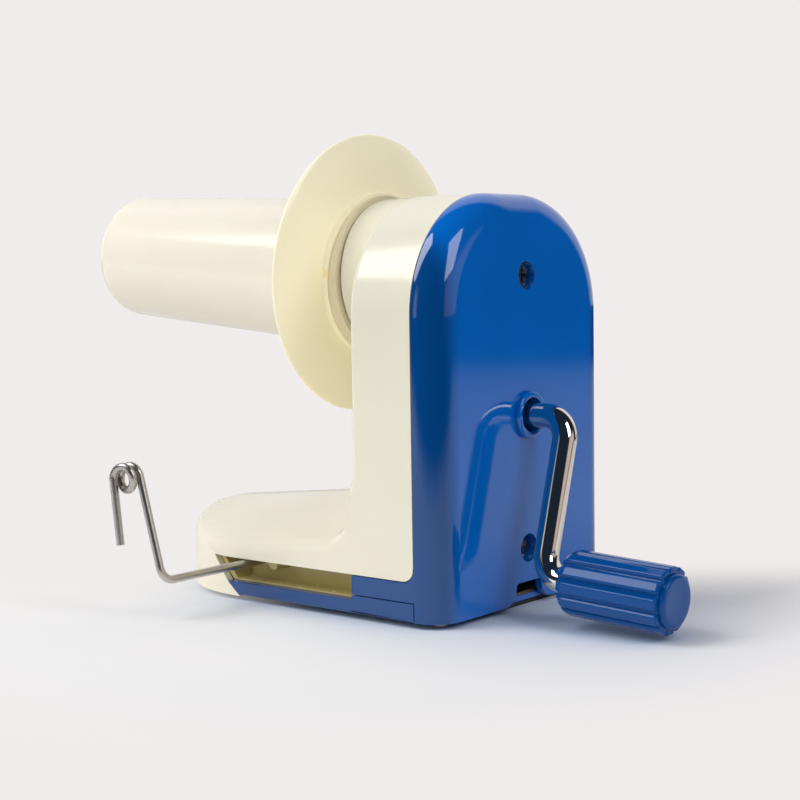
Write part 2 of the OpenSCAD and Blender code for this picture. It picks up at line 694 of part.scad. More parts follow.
// hub that carries the skewed axis
module hub_sleeve() color([0.86, 0.84, 0.76]) {
  difference() {
    union() {
      along_x(hub_gear_x - lap, spindle_z) cylinder(r = tube_r, h = sleeve_x - hub_gear_x + 2 * lap);
      along_x(sleeve_x, spindle_z) cylinder(r = journal_r, h = sleeve_end - sleeve_x);
    }
    along_x(hub_gear_x - 2, spindle_z) cylinder(r = shaft_r + run_gap, h = sleeve_end - hub_gear_x + 4);
    along_x(cup_x - cup_gap, spindle_z) cylinder(r = cavity_r, h = sleeve_end - cup_x + 2);
  }
}
module pinion(n, x, bore) {
  along_x(x, spindle_z) difference() {
    linear_extrude(height = gear_w) gear2d(n, 180 / n);
    translate([0, 0, -1]) cylinder(r = bore + fix_gap, h = gear_w + 2);
  }
}
module hub_pinion() color([0.90, 0.88, 0.80]) pinion(n_hub_pinion, hub_gear_x, tube_r);
module skew_hub() color([0.90, 0.87, 0.78]) {
  difference() {
    union() {
      intersection() {
        along_x(skew_x, spindle_z) cylinder(r = drum_r - hub_inset, h = 2 * drum_s);
        on_skew(-2 * drum_r) cylinder(r = 4 * drum_r, h = 2 * drum_r + drum_s);
      }
      along_x(cup_end + cup_gap, spindle_z) cylinder(r = cavity_r - fix_gap, h = skew_x - cup_end);
      on_skew(drum_s - 3) cylinder(r = skew_boss_r, h = bush_s1 - drum_s + 3);
    }
    on_skew(bush_s0) cylinder(r = skew_bush_r + fix_gap, h = bush_s1);
    on_skew(-drum_s) cylinder(r = pin_r + 1, h = 4 * drum_s);
  }
}
module skew_bush() color([0.70, 0.58, 0.30])
  on_skew(bush_s0 + fix_gap) ring(skew_bush_r, pin_r + run_gap, bush_s1 - bush_s0 - fix_gap);
// inner shaft
module inner_shaft() color([0.66, 0.66, 0.68])
  along_x(rear_bush_x - 0.2, spindle_z) cylinder(r = shaft_r, h = cup_x + cup_floor - 1 - rear_bush_x + 0.2);
module shaft_pinion() color([0.72, 0.60, 0.32]) pinion(n_shaft_pinion, shaft_gear_x, shaft_r);
module drive_cup() color([0.72, 0.60, 0.32]) {
  difference() {
    along_x(cup_x, spindle_z) cylinder(r = cup_r, h = cup_end - cup_x);
    along_x(cup_x - 1, spindle_z) cylinder(r = shaft_r + fix_gap, h = cup_floor + 2);
    along_x(cup_x + cup_floor, spindle_z) cylinder(r = cup_in_r, h = cup_end - cup_x);
  }
  along_x(cross_x - 3, spindle_z) intersection() {
    ring(cup_in_r + 1, rib_in_r, cup_end - cross_x + 3);
    for (k = [0 : dogs - 1]) rotate([0, 0, 360 * k / dogs]) translate([0, -rib_w / 2, 0])
      cube([cup_r, rib_w, cup_end - cup_x]);
  }
}
module shaft_screw() color([0.62, 0.62, 0.64]) {
  head_x = rear_bush_x - 0.2 - screw_head_t;
  difference() {
    along_x(head_x, spindle_z) cylinder(r = screw_head_r, h = screw_head_t - fix_gap);
    driver_slots(head_x, spindle_z, screw_head_r * 0.6);
  }
}
// bobbin on the skewed axis
module bobbin_pin() color([0.66, 0.66, 0.68]) on_skew(pin_s0) cylinder(r = pin_r, h = pin_s1 - pin_s0);
module drive_cross() color([0.86, 0.84, 0.76]) on_skew(-cross_t / 2) {
  ring(cross_r, pin_r + fix_gap, cross_t);
  for (k = [0 : dogs - 1]) rotate([0, 0, 360 * (k + 0.5) / dogs]) translate([cross_r - 0.4, -rib_w / 2, 0])
    cube([dog_r - cross_r + 0.4, rib_w, cross_t]);
}
module flange_disc() color([0.98, 0.95, 0.84]) on_skew(disc_s) rotate_extrude()
  polygon(concat([[disc_bore_r, 0], [drum_r, 0]],
    [for (d = disc_dish) [drum_r + (disc_r - drum_r) * d[0], d[1]]],
    [[disc_r, disc_len], [bobbin_r0 - wall, disc_len], [bobbin_r0 - wall, disc_floor],
     [disc_bore_r, disc_floor]]));
module bobbin() color([0.94, 0.92, 0.85]) on_skew(disc_front_s + fix_gap) {
  h = bobbin_s - disc_front_s;
  t = tip_round;
  w = bobbin_wall;
  difference() {
    rotate_extrude() union() {
      difference() {
        union() {
          polygon([[0, 0], [bobbin_r0, 0], [bobbin_r1, h - t], [0, h - t]]);
          translate([0, h - t]) square([bobbin_r1 - t, t]);
          intersection() {
            translate([bobbin_r1 - t, h - t]) circle(r = t, $fn = 32);
            translate([bobbin_r1 - t, h - t]) square([t, t]);
          }
        }
        union() {
          polygon([[-1, -1], [bobbin_r0 - w, -1], [bobbin_r1 - w, h - t], [-1, h - t]]);
          translate([-1, h - t - 1]) square([bobbin_r1 - t + 1, t - w + 1]);
          intersection() {
            translate([bobbin_r1 - t, h - t]) circle(r = t - w, $fn = 32);
            translate([bobbin_r1 - t, h - t]) square([t, t]);
          }
        }
        translate([-1, 0]) square([cap_r + 1 + fix_gap, h + 1]);
      }
    }
    // slit that catches the yarn's end
    translate([0, -yarn_slit / 2, h - yarn_slit_len]) cube([2 * bobbin_r0, yarn_slit, yarn_slit_len + 1]);
  }
}
module bobbin_core() color([0.90, 0.88, 0.80]) on_skew(core_s0) {
  fall = (bobbin_r0 - bobbin_r1) / (bobbin_s - disc_front_s - tip_round);
  ring(core_r, pin_r + fix_gap, core_s1 - core_s0);
  for (z = [0, core_s1 - core_s0 - core_web]) translate([0, 0, z]) difference() {
    ring(bobbin_r0 - bobbin_wall - fix_gap - fall * (core_s0 + z + core_web - disc_front_s),
         core_r - lap, core_web);
    for (k = [0 : 3]) rotate([0, 0, 90 * k]) translate([core_hole_at, 0, -1])
      cylinder(r = core_hole_r, h = core_web + 2);
  }
}
module bobbin_cap() color([0.92, 0.90, 0.82]) on_skew(bobbin_s - bobbin_wall) {
  cylinder(r = cap_r, h = bobbin_wall - cap_sunk);
  translate([0, 0, -cap_t - fix_gap]) cylinder(r = cap_r + cap_flange, h = cap_t);
  translate([0, 0, -cap_t / 2]) cylinder(r = cap_r - 1, h = cap_t);
}
module pin_washer() color([0.62, 0.62, 0.64]) {
  on_skew(core_s1 + fix_gap) ring(core_r, pin_r + fix_gap, washer_t);
  on_skew(core_s1 + washer_t / 2) ring(nut_r, pin_r + fix_gap, nut_t);
  on_skew(pin_s1 + fix_gap) cylinder(r = nut_r, h = nut_cap);
}
// yarn guide
module guide_clip() color([0.40, 0.40, 0.42])
  along_y(guide_x, clip_y + 0.05, guide_z) ring(clip_r, groove_r + run_gap, clip_t);
up_dir = [sin(guide_lean), 0, cos(guide_lean)];
out_dir = [cos(guide_lean), 0, -sin(guide_lean)];
y_dir = [0, 1, 0];
knee = [guide_x, guide_reach - guide_bend, guide_z];
eye_mid = [guide_x, guide_reach, guide_z] + guide_up * up_dir + eye_r * out_dir;
function eye_at(a) = eye_mid + eye_r * (cos(180 - a) * out_dir + sin(180 - a) * up_dir)
  + eye_pitch * a / 360 * y_dir;
function leg_dir(a) = sin(180 - a) * out_dir - cos(180 - a) * up_dir;
eye_n = 48;
guide_join = 2 * wire_r + 0.1;
guide_path = concat(
  [for (y = [knee[1] - guide_join, knee[1]]) [guide_x, y, guide_z]],
  [for (t = [15 : 15 : 90]) knee + guide_bend * (1 - cos(t)) * up_dir + guide_bend * sin(t) * y_dir],
  [for (s = [guide_up / 3, guide_up * 2 / 3]) [guide_x, guide_reach, guide_z] + s * up_dir],
  [for (i = [0 : eye_n]) eye_at(eye_turn * i / eye_n)],
  [for (s = [leg_len / 2, leg_len]) eye_at(eye_turn) + s * leg_dir(eye_turn)]);
function unit(v) = v / norm(v);
function tangent(p, i) = unit(p[min(i + 1, len(p) - 1)] - p[max(i - 1, 0)]);
// section directions carried along the path without twist
function carry(p, i, u) = i >= len(p) ? [] :
  let (t = tangent(p, i), w = unit(u - (u * t) * t)) concat([w], carry(p, i + 1, w));
guide_side = carry(guide_path, 0, [1, 0, 0]);
module yarn_guide() color([0.62, 0.62, 0.63]) {
  n = len(guide_path);
  m = wire_sides;
  pts = [for (i = [0 : n - 1]) let (t = tangent(guide_path, i), u = guide_side[i], v = cross(t, u))
    for (k = [0 : m - 1]) guide_path[i] + wire_r * (cos(360 * k / m) * u + sin(360 * k / m) * v)];
  faces = concat([[for (k = [0 : m - 1]) k]],
    [for (i = [0 : n - 2]) for (k = [0 : m - 1]) let (q = (k + 1) % m)
      [i * m + k, (i + 1) * m + k, (i + 1) * m + q, i * m + q]],
    [[for (k = [m - 1 : -1 : 0]) (n - 1) * m + k]]);
  polyhedron(points = pts, faces = faces, convexity = 6);
  difference() {
    along_y(guide_x, guide_in_y, guide_z) cylinder(r = wire_r, h = knee[1] - guide_join - 0.02 - guide_in_y);
    along_y(guide_x, clip_y, guide_z) ring(2 * wire_r, groove_r, clip_t + 0.1);
  }
  along_y(guide_x, knee[1] - guide_join - 1, guide_z) cylinder(r = wire_r - 0.2, h = 2);
}

rear_cover();
front_shell();
base_tray();
stow_pocket();
sole_pads();
cover_screw();
base_screws();
clamp_plate();
crank_bush();
crank_front_bush();
shaft_rear_bush();
hub_front_bush();
guide_bush();
crank_rod();
hub_drive_gear();
shaft_drive_gear();
crank_ring();
knob_screw();
knob_grip();
knob_cap();
hub_sleeve();
hub_pinion();
skew_hub();
skew_bush();
inner_shaft();
shaft_pinion();
drive_cup();
shaft_screw();
bobbin_pin();
drive_cross();
flange_disc();
bobbin();
bobbin_core();
bobbin_cap();
pin_washer();
guide_clip();
yarn_guide();
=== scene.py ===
import json
import math

import bmesh
import bpy
from mathutils import Matrix, Vector


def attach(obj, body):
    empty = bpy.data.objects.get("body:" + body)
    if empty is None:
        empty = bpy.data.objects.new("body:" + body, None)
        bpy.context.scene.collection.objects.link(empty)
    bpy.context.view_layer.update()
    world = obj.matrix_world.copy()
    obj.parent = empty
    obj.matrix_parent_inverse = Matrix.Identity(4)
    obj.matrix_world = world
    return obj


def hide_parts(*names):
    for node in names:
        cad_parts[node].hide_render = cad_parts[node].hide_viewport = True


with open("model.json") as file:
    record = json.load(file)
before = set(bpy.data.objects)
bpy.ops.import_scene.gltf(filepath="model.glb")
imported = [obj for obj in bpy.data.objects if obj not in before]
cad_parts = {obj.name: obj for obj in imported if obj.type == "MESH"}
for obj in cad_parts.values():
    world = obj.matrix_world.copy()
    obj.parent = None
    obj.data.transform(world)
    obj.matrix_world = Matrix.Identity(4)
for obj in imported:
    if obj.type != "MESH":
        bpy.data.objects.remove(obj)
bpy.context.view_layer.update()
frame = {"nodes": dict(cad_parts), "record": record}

# Yarn ball winder. Places and sizes below are millimetres in the part's own frame:
# X along the spindle towards the bobbin tip, Y to the guide side, Z up.
MM = 0.001
nodes = frame["nodes"]
scene = bpy.context.scene

# tower, foot and base
X_REAR, X_PART, X_FRONT, X_BOSS = -30.0, -18.0, 10.5, 34.5
HALF_W, TOWER_TOP, ARCH_R, WALL = 53.5, 152.5, 44.0, 3.0
SHELL_EDGE, BASE_Z, TRAY_RIM, SEAM, CORNER_R = 16.0, 2.0, 9.0, 0.3, 5.0
NOSE_X, CREST_Z, CROWN_R, FOOT_FALL = 70.0, 42.0, 100.0, math.radians(6)
FOOT_FILLET, RIM_R, COVER_ROUND = 12.0, 3.2, 11.6
SPINDLE_Z, CRANK_Z, SCREW_Z = 122.5, 71.5, 22.2
BOSS_R, JOURNAL_R = 30.0, 20.0
WELL_R, WELL_FLOOR, THROAT_R = 5.2, -24.0, 6.4
CRANK_SEAT_R, SHAFT_SEAT_R, SCREW_HOLE_R = 7.52, 6.02, 2.2
NOTCH_HALF, NOTCH_TOP, NOTCH_ROUND, NOTCH_FLARE = 8.1, 9.8, 1.6, 6.4
TRAY_SCREWS, TRAY_HOLE_R = ((-22, 44), (-22, -44), (40, 24), (40, -40)), 1.75
# stow slot with its liner; the slant of the lip below it and of its own front end
SLOT_X0, SLOT_X1, SLOT_Z0, LIP_SLANT, SCOOP = 10.8, 74.0, 7.0, 6.0, 8.0
SLOT_DEEP, LINER_TOP, LINER_WALL, LINER_FLOOR, LINER_ROOF = 16.0, 18.4, 2.0, 0.6, 1.5
LINER_ROUND, REST_R, REST_BACK, PIVOT_R = 4.0, 2.2, 9.5, 3.15
# how far a cutter runs past the skin that it cuts, and the play between fitted shells
PAST, PLAY = 5.0, 0.6
# hub, disc and bobbin, with distances along the skewed axis from its crossing with the spindle
SKEW, CROSS_X = math.radians(4), 26.0
DISC_S, DISC_LEN, DRUM_R, DRUM_S = 13.0, 7.5, 31.8, 12.5
BOBBIN_R0, BOBBIN_R1, BOBBIN_S, TIP_ROUND, BOBBIN_WALL = 29.0, 26.0, 153.0, 7.0, 2.4
# crank and knob
ROD_R, ARM_X, THROW, ARM_LEAN, BEND_R = 4.5, -47.5, 59.5, math.radians(17), 9.0
KNOB_X0, KNOB_X1, KNOB_R, FLUTES = -59.0, -100.0, 11.8, 12
KNOB_Y = THROW * math.sin(ARM_LEAN)
KNOB_Z = CRANK_Z - THROW * math.cos(ARM_LEAN)
KNOB_DIP, KNOB_MID = math.radians(2.8), (KNOB_X0 + KNOB_X1) / 2
LEG_IN = (ARM_X - KNOB_MID - BEND_R * (1 - math.sin(KNOB_DIP))) / math.cos(KNOB_DIP)
ARM_DOWN = THROW - BEND_R * math.cos(KNOB_DIP) - LEG_IN * math.sin(KNOB_DIP)
# yarn guide
WIRE_R, GUIDE_X, GUIDE_Z, REACH, GUIDE_BEND = 1.5, 64.7, 14.4, 95.0, 5.0
GUIDE_LEAN, GUIDE_UP = math.radians(16), 39.5
EYE_R, EYE_PITCH, EYE_TURN, LEG = 4.35, 3.5, 531.0, 24.0


# Camera at the photograph's place
def set_camera():
    stand = Vector((-0.3624, 0.4828, 0.1264))
    swing, dip, tilt = math.radians(50.87), math.radians(4.77), math.radians(-0.89)
    ahead = Vector((math.cos(swing) * math.cos(dip), -math.sin(swing) * math.cos(dip), -math.sin(dip)))
    right = ahead.cross(Vector((0, 0, 1))).normalized()
    up = right.cross(ahead)
    right, up = right * math.cos(tilt) + up * math.sin(tilt), up * math.cos(tilt) - right * math.sin(tilt)
    lens = bpy.data.cameras.new("photo_camera")
    lens.lens, lens.sensor_width, lens.sensor_fit = 72.0, 36.0, "HORIZONTAL"
    lens.clip_start, lens.clip_end = 0.01, 30.0
    camera = bpy.data.objects.new("photo_camera", lens)
    camera.matrix_world = Matrix((
        (right.x, up.x, -ahead.x, stand.x),
        (right.y, up.y, -ahead.y, stand.y),
        (right.z, up.z, -ahead.z, stand.z),
        (0, 0, 0, 1)))
    scene.collection.objects.link(camera)
    scene.camera = camera


# Bench work: small helpers for modelling with the operators
def put_down():
    """Leaves edit mode and lets go of everything."""
    if bpy.context.object and bpy.context.object.mode != "OBJECT":
        bpy.ops.object.mode_set(mode="OBJECT")
    bpy.ops.object.select_all(action="DESELECT")


def take(piece):
    """Makes the piece the only one in hand."""
    put_down()
    piece.select_set(True)
    bpy.context.view_layer.objects.active = piece


def seat(piece):
    """Puts the piece's place and turn into its mesh."""
    take(piece)
    bpy.ops.object.transform_apply(location=True, rotation=True, scale=True)
    return piece


def block(low, high):
    put_down()
    bpy.ops.mesh.primitive_cube_add(
        size=1, location=[(a + b) / 2 * MM for a, b in zip(low, high)],
        scale=[(b - a) * MM for a, b in zip(low, high)])
    return seat(bpy.context.object)


def bar(radius, start, end, sides=64):
    put_down()
    a, b = Vector(start) * MM, Vector(end) * MM
    bpy.ops.mesh.primitive_cylinder_add(
        vertices=sides, radius=radius * MM, depth=(b - a).length, location=(a + b) / 2,
        rotation=(b - a).to_track_quat("Z", "Y").to_euler())
    return seat(bpy.context.object)


def pick(piece, kind, test):
    """Selects, in edit mode, the corners, edges or faces of the piece that pass the test."""
    if piece.mode != "EDIT":
        take(piece)
        bpy.ops.object.mode_set(mode="EDIT")
    bpy.ops.mesh.select_mode(type=kind)
    bpy.ops.mesh.select_all(action="DESELECT")
    mesh = bmesh.from_edit_mesh(piece.data)
    mesh.normal_update()
    for item in {"VERT": mesh.verts, "EDGE": mesh.edges, "FACE": mesh.faces}[kind]:
        if test(item):
            item.select_set(True)
    mesh.select_flush_mode()
    bmesh.update_edit_mesh(piece.data)


def lies(item, axis, value):
    """Whether every corner of the item lies at this value on the axis."""
    slack = 0.05
    corners = [item] if isinstance(item, bmesh.types.BMVert) else item.verts
    return all(abs(c.co[axis] / MM - value) < slack for c in corners)


def middle(item):
    corners = [item] if isinstance(item, bmesh.types.BMVert) else item.verts
    return sum((c.co for c in corners), Vector()) / len(corners) / MM


def runs(edge, axis):
    """Whether the edge runs along the axis."""
    way = edge.verts[1].co - edge.verts[0].co
    return abs(way[axis]) > 0.999 * way.length


def round_edges(piece, radius, steps, test):
    pick(piece, "EDGE", test)
    bpy.ops.mesh.bevel(
        offset=radius * MM, segments=steps, profile=0.5, affect="EDGES", clamp_overlap=False)


def carve(piece, tool, how="DIFFERENCE"):
    """Cuts the tool out of the piece, or joins it on, and uses the tool up."""
    take(piece)
    cut = piece.modifiers.new("cut", "BOOLEAN")
    cut.operation, cut.object, cut.solver = how, tool, "EXACT"
    bpy.ops.object.modifier_apply(modifier=cut.name)
    bpy.data.objects.remove(tool, do_unlink=True)


def thicken(piece, wall):
    take(piece)
    skin = piece.modifiers.new("wall", "SOLIDIFY")
    skin.thickness, skin.offset, skin.use_even_offset = wall * MM, -1, True
    bpy.ops.object.modifier_apply(modifier=skin.name)


def soften(piece, width, angle=50):
    """Breaks every edge that is sharper than the angle."""
    take(piece)
    edge = piece.modifiers.new("soft_edges", "BEVEL")
    edge.width, edge.segments, edge.limit_method = width * MM, 2, "ANGLE"
    edge.angle_limit = math.radians(angle)
    bpy.ops.object.modifier_apply(modifier=edge.name)


def turned(profile, start, toward, steps):
    """Spins a closed profile of (radius, distance) pairs about the line that leaves start."""
    put_down()
    bpy.ops.mesh.primitive_circle_add(vertices=len(profile), fill_type="NOTHING")
    piece = bpy.context.object
    for corner, (radius, along) in zip(piece.data.vertices, profile):
        corner.co = (radius * MM, 0, along * MM)
    bpy.ops.object.mode_set(mode="EDIT")
    bpy.ops.mesh.select_all(action="SELECT")
    bpy.ops.mesh.spin(steps=steps, angle=2 * math.pi, center=(0, 0, 0), axis=(0, 0, 1))
    bpy.ops.mesh.select_all(action="SELECT")
    bpy.ops.mesh.remove_doubles(threshold=2e-6)
    bpy.ops.mesh.normals_make_consistent(inside=False)
    put_down()
    piece.location = Vector(start) * MM
    piece.rotation_euler = Vector(toward).to_track_quat("Z", "Y").to_euler()
    return seat(piece)


def drawn_wire(path, radius, rounds):
    """Draws a round bar along the path, with closed ends."""
    put_down()
    line = bpy.data.curves.new("wire", "CURVE")
    line.dimensions = "3D"
    spline = line.splines.new("POLY")
    spline.points.add(len(path) - 1)
    for point, place in zip(spline.points, path):
        point.co = (*(Vector(place) * MM), 1)
    line.bevel_depth, line.bevel_resolution, line.use_fill_caps = radius * MM, rounds, True
    piece = bpy.data.objects.new("wire", line)
    scene.collection.objects.link(piece)
    take(piece)
    bpy.ops.object.convert(target="MESH")
    piece = bpy.context.object
    bpy.ops.object.mode_set(mode="EDIT")
    bpy.ops.mesh.select_all(action="SELECT")
    bpy.ops.mesh.remove_doubles(threshold=2e-6)
    bpy.ops.mesh.normals_make_consistent(inside=False)
    put_down()
    return piece


def settle(piece, name, body, slot, *stands_for, smooth=35, look=None):
    """Finishes a piece: its name, shading, finish, body and the solids that it stands for."""
    take(piece)
    piece.name = piece.data.name = name
    bpy.ops.object.shade_smooth_by_angle(angle=math.radians(smooth))
    even = piece.modifiers.new("even_shading", "WEIGHTED_NORMAL")
    even.keep_sharp = True
    bpy.ops.object.modifier_apply(modifier=even.name)
    piece.data.materials.clear()
    piece.data.materials.append(FINISH[look or slot])
    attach(piece, body)
    if stands_for:
        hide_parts(*stands_for)
    put_down()


# Finishes
def new_finish(name):
    finish = bpy.data.materials.new(name)
    finish.use_nodes = True
    tree = finish.node_tree
    shader = tree.nodes["Principled BSDF"]
    place = tree.nodes.new("ShaderNodeTexCoord")
    return finish, tree, shader, place.outputs["Object"]


def noise(tree, place, scale, detail=3.0, rough=0.5, stretch=None):
    node = tree.nodes.new("ShaderNodeTexNoise")
    node.inputs["Scale"].default_value = scale
    node.inputs["Detail"].default_value = detail
    node.inputs["Roughness"].default_value = rough
    if stretch:
        mapping = tree.nodes.new("ShaderNodeMapping")
        mapping.inputs["Scale"].default_value = stretch
        tree.links.new(place, mapping.inputs["Vector"])
        place = mapping.outputs["Vector"]
    tree.links.new(place, node.inputs["Vector"])
    return node.outputs["Fac"]


def blend_colours(tree, factor, dark, light, low=0.3, high=0.7):
    ramp = tree.nodes.new("ShaderNodeValToRGB")
    ramp.color_ramp.elements[0].position, ramp.color_ramp.elements[0].color = low, (*dark, 1)
    ramp.color_ramp.elements[1].position, ramp.color_ramp.elements[1].color = high, (*light, 1)
    tree.links.new(factor, ramp.inputs["Fac"])
    return ramp.outputs["Color"]


def spread(tree, factor, low, high):
    node = tree.nodes.new("ShaderNodeMapRange")
    node.inputs["To Min"].default_value, node.inputs["To Max"].default_value = low, high
    tree.links.new(factor, node.inputs["Value"])
    return node.outputs["Result"]


def sums(tree, how, a, b=None):
    node = tree.nodes.new("ShaderNodeMath")
    node.operation = how
    for socket, value in zip(node.inputs, (a, b)):
        if isinstance(value, (int, float)):
            socket.default_value = value
        elif value:
            tree.links.new(value, socket)
    return node.outputs["Value"]


def eased(tree, value, start, stop, low=0.0, high=1.0):
    node = tree.nodes.new("ShaderNodeMapRange")
    node.interpolation_type = "SMOOTHSTEP"
    node.inputs["From Min"].default_value, node.inputs["From Max"].default_value = start, stop
    node.inputs["To Min"].default_value, node.inputs["To Max"].default_value = low, high
    tree.links.new(value, node.inputs["Value"])
    return node.outputs["Result"]


def vectors(tree, how, first, second=None):
    """A vector step. Its result is a number for a dot product or a length."""
    node = tree.nodes.new("ShaderNodeVectorMath")
    node.operation = how
    tree.links.new(first, node.inputs[0])
    if isinstance(second, tuple):
        node.inputs[1].default_value = second
    elif second:
        tree.links.new(second, node.inputs[1])
    return node.outputs["Value" if how in ("DOT_PRODUCT", "LENGTH") else "Vector"]


def mixed(tree, factor, first, second):
    node = tree.nodes.new("ShaderNodeMixShader")
    tree.links.new(factor, node.inputs["Fac"])
    tree.links.new(first.outputs[0], node.inputs[1])
    tree.links.new(second.outputs[0], node.inputs[2])
    return node


def dent(tree, shader, height, strength, depth):
    node = tree.nodes.new("ShaderNodeBump")
    node.inputs["Strength"].default_value, node.inputs["Distance"].default_value = strength, depth
    tree.links.new(height, node.inputs["Height"])
    tree.links.new(node.outputs["Normal"], shader.inputs["Normal"])


def moulded(name, colour, rough, drift, peel, coat=0.0, glow=0.0, painted_light=0.0, shine=0.5):
    """Moulded plastic: a slow drift of tone, fine flow lines and a faint orange peel."""
    finish, tree, shader, place = new_finish(name)
    slow = noise(tree, place, 22.0, 2.0)
    dark = [c * (1 - drift) for c in colour]
    light = [min(1.0, c * (1 + drift)) for c in colour]
    tree.links.new(blend_colours(tree, slow, dark, light), shader.inputs["Base Color"])
    fine = noise(tree, place, 260.0, 4.0)
    tree.links.new(spread(tree, fine, rough * 0.8, rough * 1.25), shader.inputs["Roughness"])
    dent(tree, shader, noise(tree, place, 90.0, 2.0), peel, 0.0004)
    shader.inputs["IOR"].default_value = 1.5
    shader.inputs["Specular IOR Level"].default_value = shine
    if coat:
        shader.inputs["Coat Weight"].default_value = coat
        shader.inputs["Coat Roughness"].default_value = 0.04
    if glow:
        shader.inputs["Subsurface Weight"].default_value = glow
        shader.inputs["Subsurface Radius"].default_value = (0.004, 0.003, 0.0018)
        shader.inputs["Subsurface Scale"].default_value = 0.6
    # painted light: the surface glows faintly in its own colour, though it is no lamp
    if painted_light:
        shader.inputs["Emission Color"].default_value = (*colour, 1)
        shader.inputs["Emission Strength"].default_value = painted_light
    return finish


def paint_shade_on_blue(finish):
    """Paints shade into the blue: darker towards the sides of the cover, and darker down in the wells of the
    screws and of the crank, where shade falls.
    """
    tree = finish.node_tree
    shader = tree.nodes["Principled BSDF"]
    colour = shader.inputs["Base Color"].links[0].from_socket
    parts = tree.nodes.new("ShaderNodeSeparateXYZ")
    place = next(n for n in tree.nodes if n.type == "TEX_COORD")
    tree.links.new(place.outputs["Object"], parts.inputs["Vector"])

    side_starts, side_ends, side_shade, well_shade, well_edge = 0.040, 0.049, 0.42, 0.06, 0.25
    # painted shade: the blue darkens towards the cover's sides
    aside = sums(tree, "ABSOLUTE", parts.outputs["Y"])
    factor = eased(tree, aside, side_starts, side_ends, 1.0, side_shade)
    # painted shade: the blue darkens down inside each screw well and the crank's throat
    for height, bore in ((SPINDLE_Z, WELL_R), (SCREW_Z, WELL_R), (CRANK_Z, THROAT_R)):
        radius = bore + 0.05
        lift = sums(tree, "SUBTRACT", parts.outputs["Z"], height * MM)
        square = sums(tree, "ADD", sums(tree, "MULTIPLY", aside, aside), sums(tree, "MULTIPLY", lift, lift))
        reach = sums(tree, "SQRT", square)
        well = eased(tree, reach, (radius - well_edge) * MM, radius * MM, well_shade, 1.0)
        factor = sums(tree, "MULTIPLY", factor, well)
    mix = tree.nodes.new("ShaderNodeVectorMath")
    mix.operation = "SCALE"
    tree.links.new(colour, mix.inputs[0])
    tree.links.new(factor, mix.inputs["Scale"])
    tree.links.new(mix.outputs["Vector"], shader.inputs["Base Color"])
    return finish


def polished(name, colour, rough, streak, stretch, drift, bump):
    """Metal with fine draw lines along one direction and small clouding of the polish."""
    finish, tree, shader, place = new_finish(name)
    shader.inputs["Metallic"].default_value = 1.0
    cloud = noise(tree, place, 60.0, 3.0)
    dark = [c * (1 - drift) for c in colour]
    light = [min(1.0, c * (1 + drift)) for c in colour]
    tree.links.new(blend_colours(tree, cloud, dark, light), shader.inputs["Base Color"])
    lines = noise(tree, place, streak, 4.0, 0.6, stretch)
    tree.links.new(spread(tree, lines, rough * 0.65, rough * 1.5), shader.inputs["Roughness"])
    dent(tree, shader, lines, bump, 0.0001)
    return finish


FINISH = {
    # blue with painted shade at the cover's sides and down in its wells
    "blue_gloss": paint_shade_on_blue(moulded("blue_gloss", (0.0008, 0.128, 0.52), 0.07, 0.05, 0.008, coat=0.2)),
    "knob_blue": moulded("knob_blue", (0.002, 0.064, 0.255), 0.06, 0.07, 0.012, shine=0.26),
    "cream_gloss": moulded("cream_gloss", (0.80, 0.765, 0.62), 0.16, 0.02, 0.015, glow=0.08),
    # warmer, slightly darker copy of the shell's cream: painted shade for the drum between boss and disc
    "hub_cream": moulded("hub_cream", (0.83, 0.745, 0.52), 0.22, 0.015, 0.015, glow=0.08),
    # the disc glows faintly: painted light that lifts its rear face
    "disc_cream": moulded("disc_cream", (0.965, 0.885, 0.64), 0.22, 0.015, 0.015, glow=0.1, painted_light=0.15),
    "bobbin_cream": moulded("bobbin_cream", (0.86, 0.81, 0.68), 0.18, 0.02, 0.015, glow=0.1),
    # the liner is cream plastic; this darker khaki copy of the cream is painted shade for the inside of the
    # stow slot
    "liner_khaki": moulded("liner_khaki", (0.54, 0.455, 0.185), 0.25, 0.06, 0.03),
    "bush_plastic": moulded("bush_plastic", (0.68, 0.65, 0.53), 0.45, 0.05, 0.06),
    "gear_plastic": moulded("gear_plastic", (0.78, 0.74, 0.60), 0.4, 0.05, 0.05),
    "sole_rubber": moulded("sole_rubber", (0.02, 0.02, 0.022), 0.75, 0.2, 0.25),
    "rod_chrome": polished("rod_chrome", (0.78, 0.72, 0.66), 0.05, 420.0, (1, 1, 0.05), 0.03, 0.01),
    "wire_steel": polished("wire_steel", (0.50, 0.47, 0.44), 0.3, 1400.0, (1, 1, 1), 0.05, 0.01),
    "shaft_steel": polished("shaft_steel", (0.45, 0.45, 0.46), 0.25, 400.0, (0.08, 1, 1), 0.06, 0.05),
    # screw steel kept darker than the other steel: painted shade for the screw heads down in their wells
    "screw_steel": polished("screw_steel", (0.30, 0.30, 0.31), 0.2, 300.0, (1, 1, 1), 0.1, 0.05),
    "plate_steel": polished("plate_steel", (0.16, 0.12, 0.09), 0.3, 200.0, (0.1, 1, 1), 0.2, 0.08),
    "bush_brass": polished("bush_brass", (0.55, 0.40, 0.13), 0.28, 300.0, (1, 1, 1), 0.1, 0.05),
}


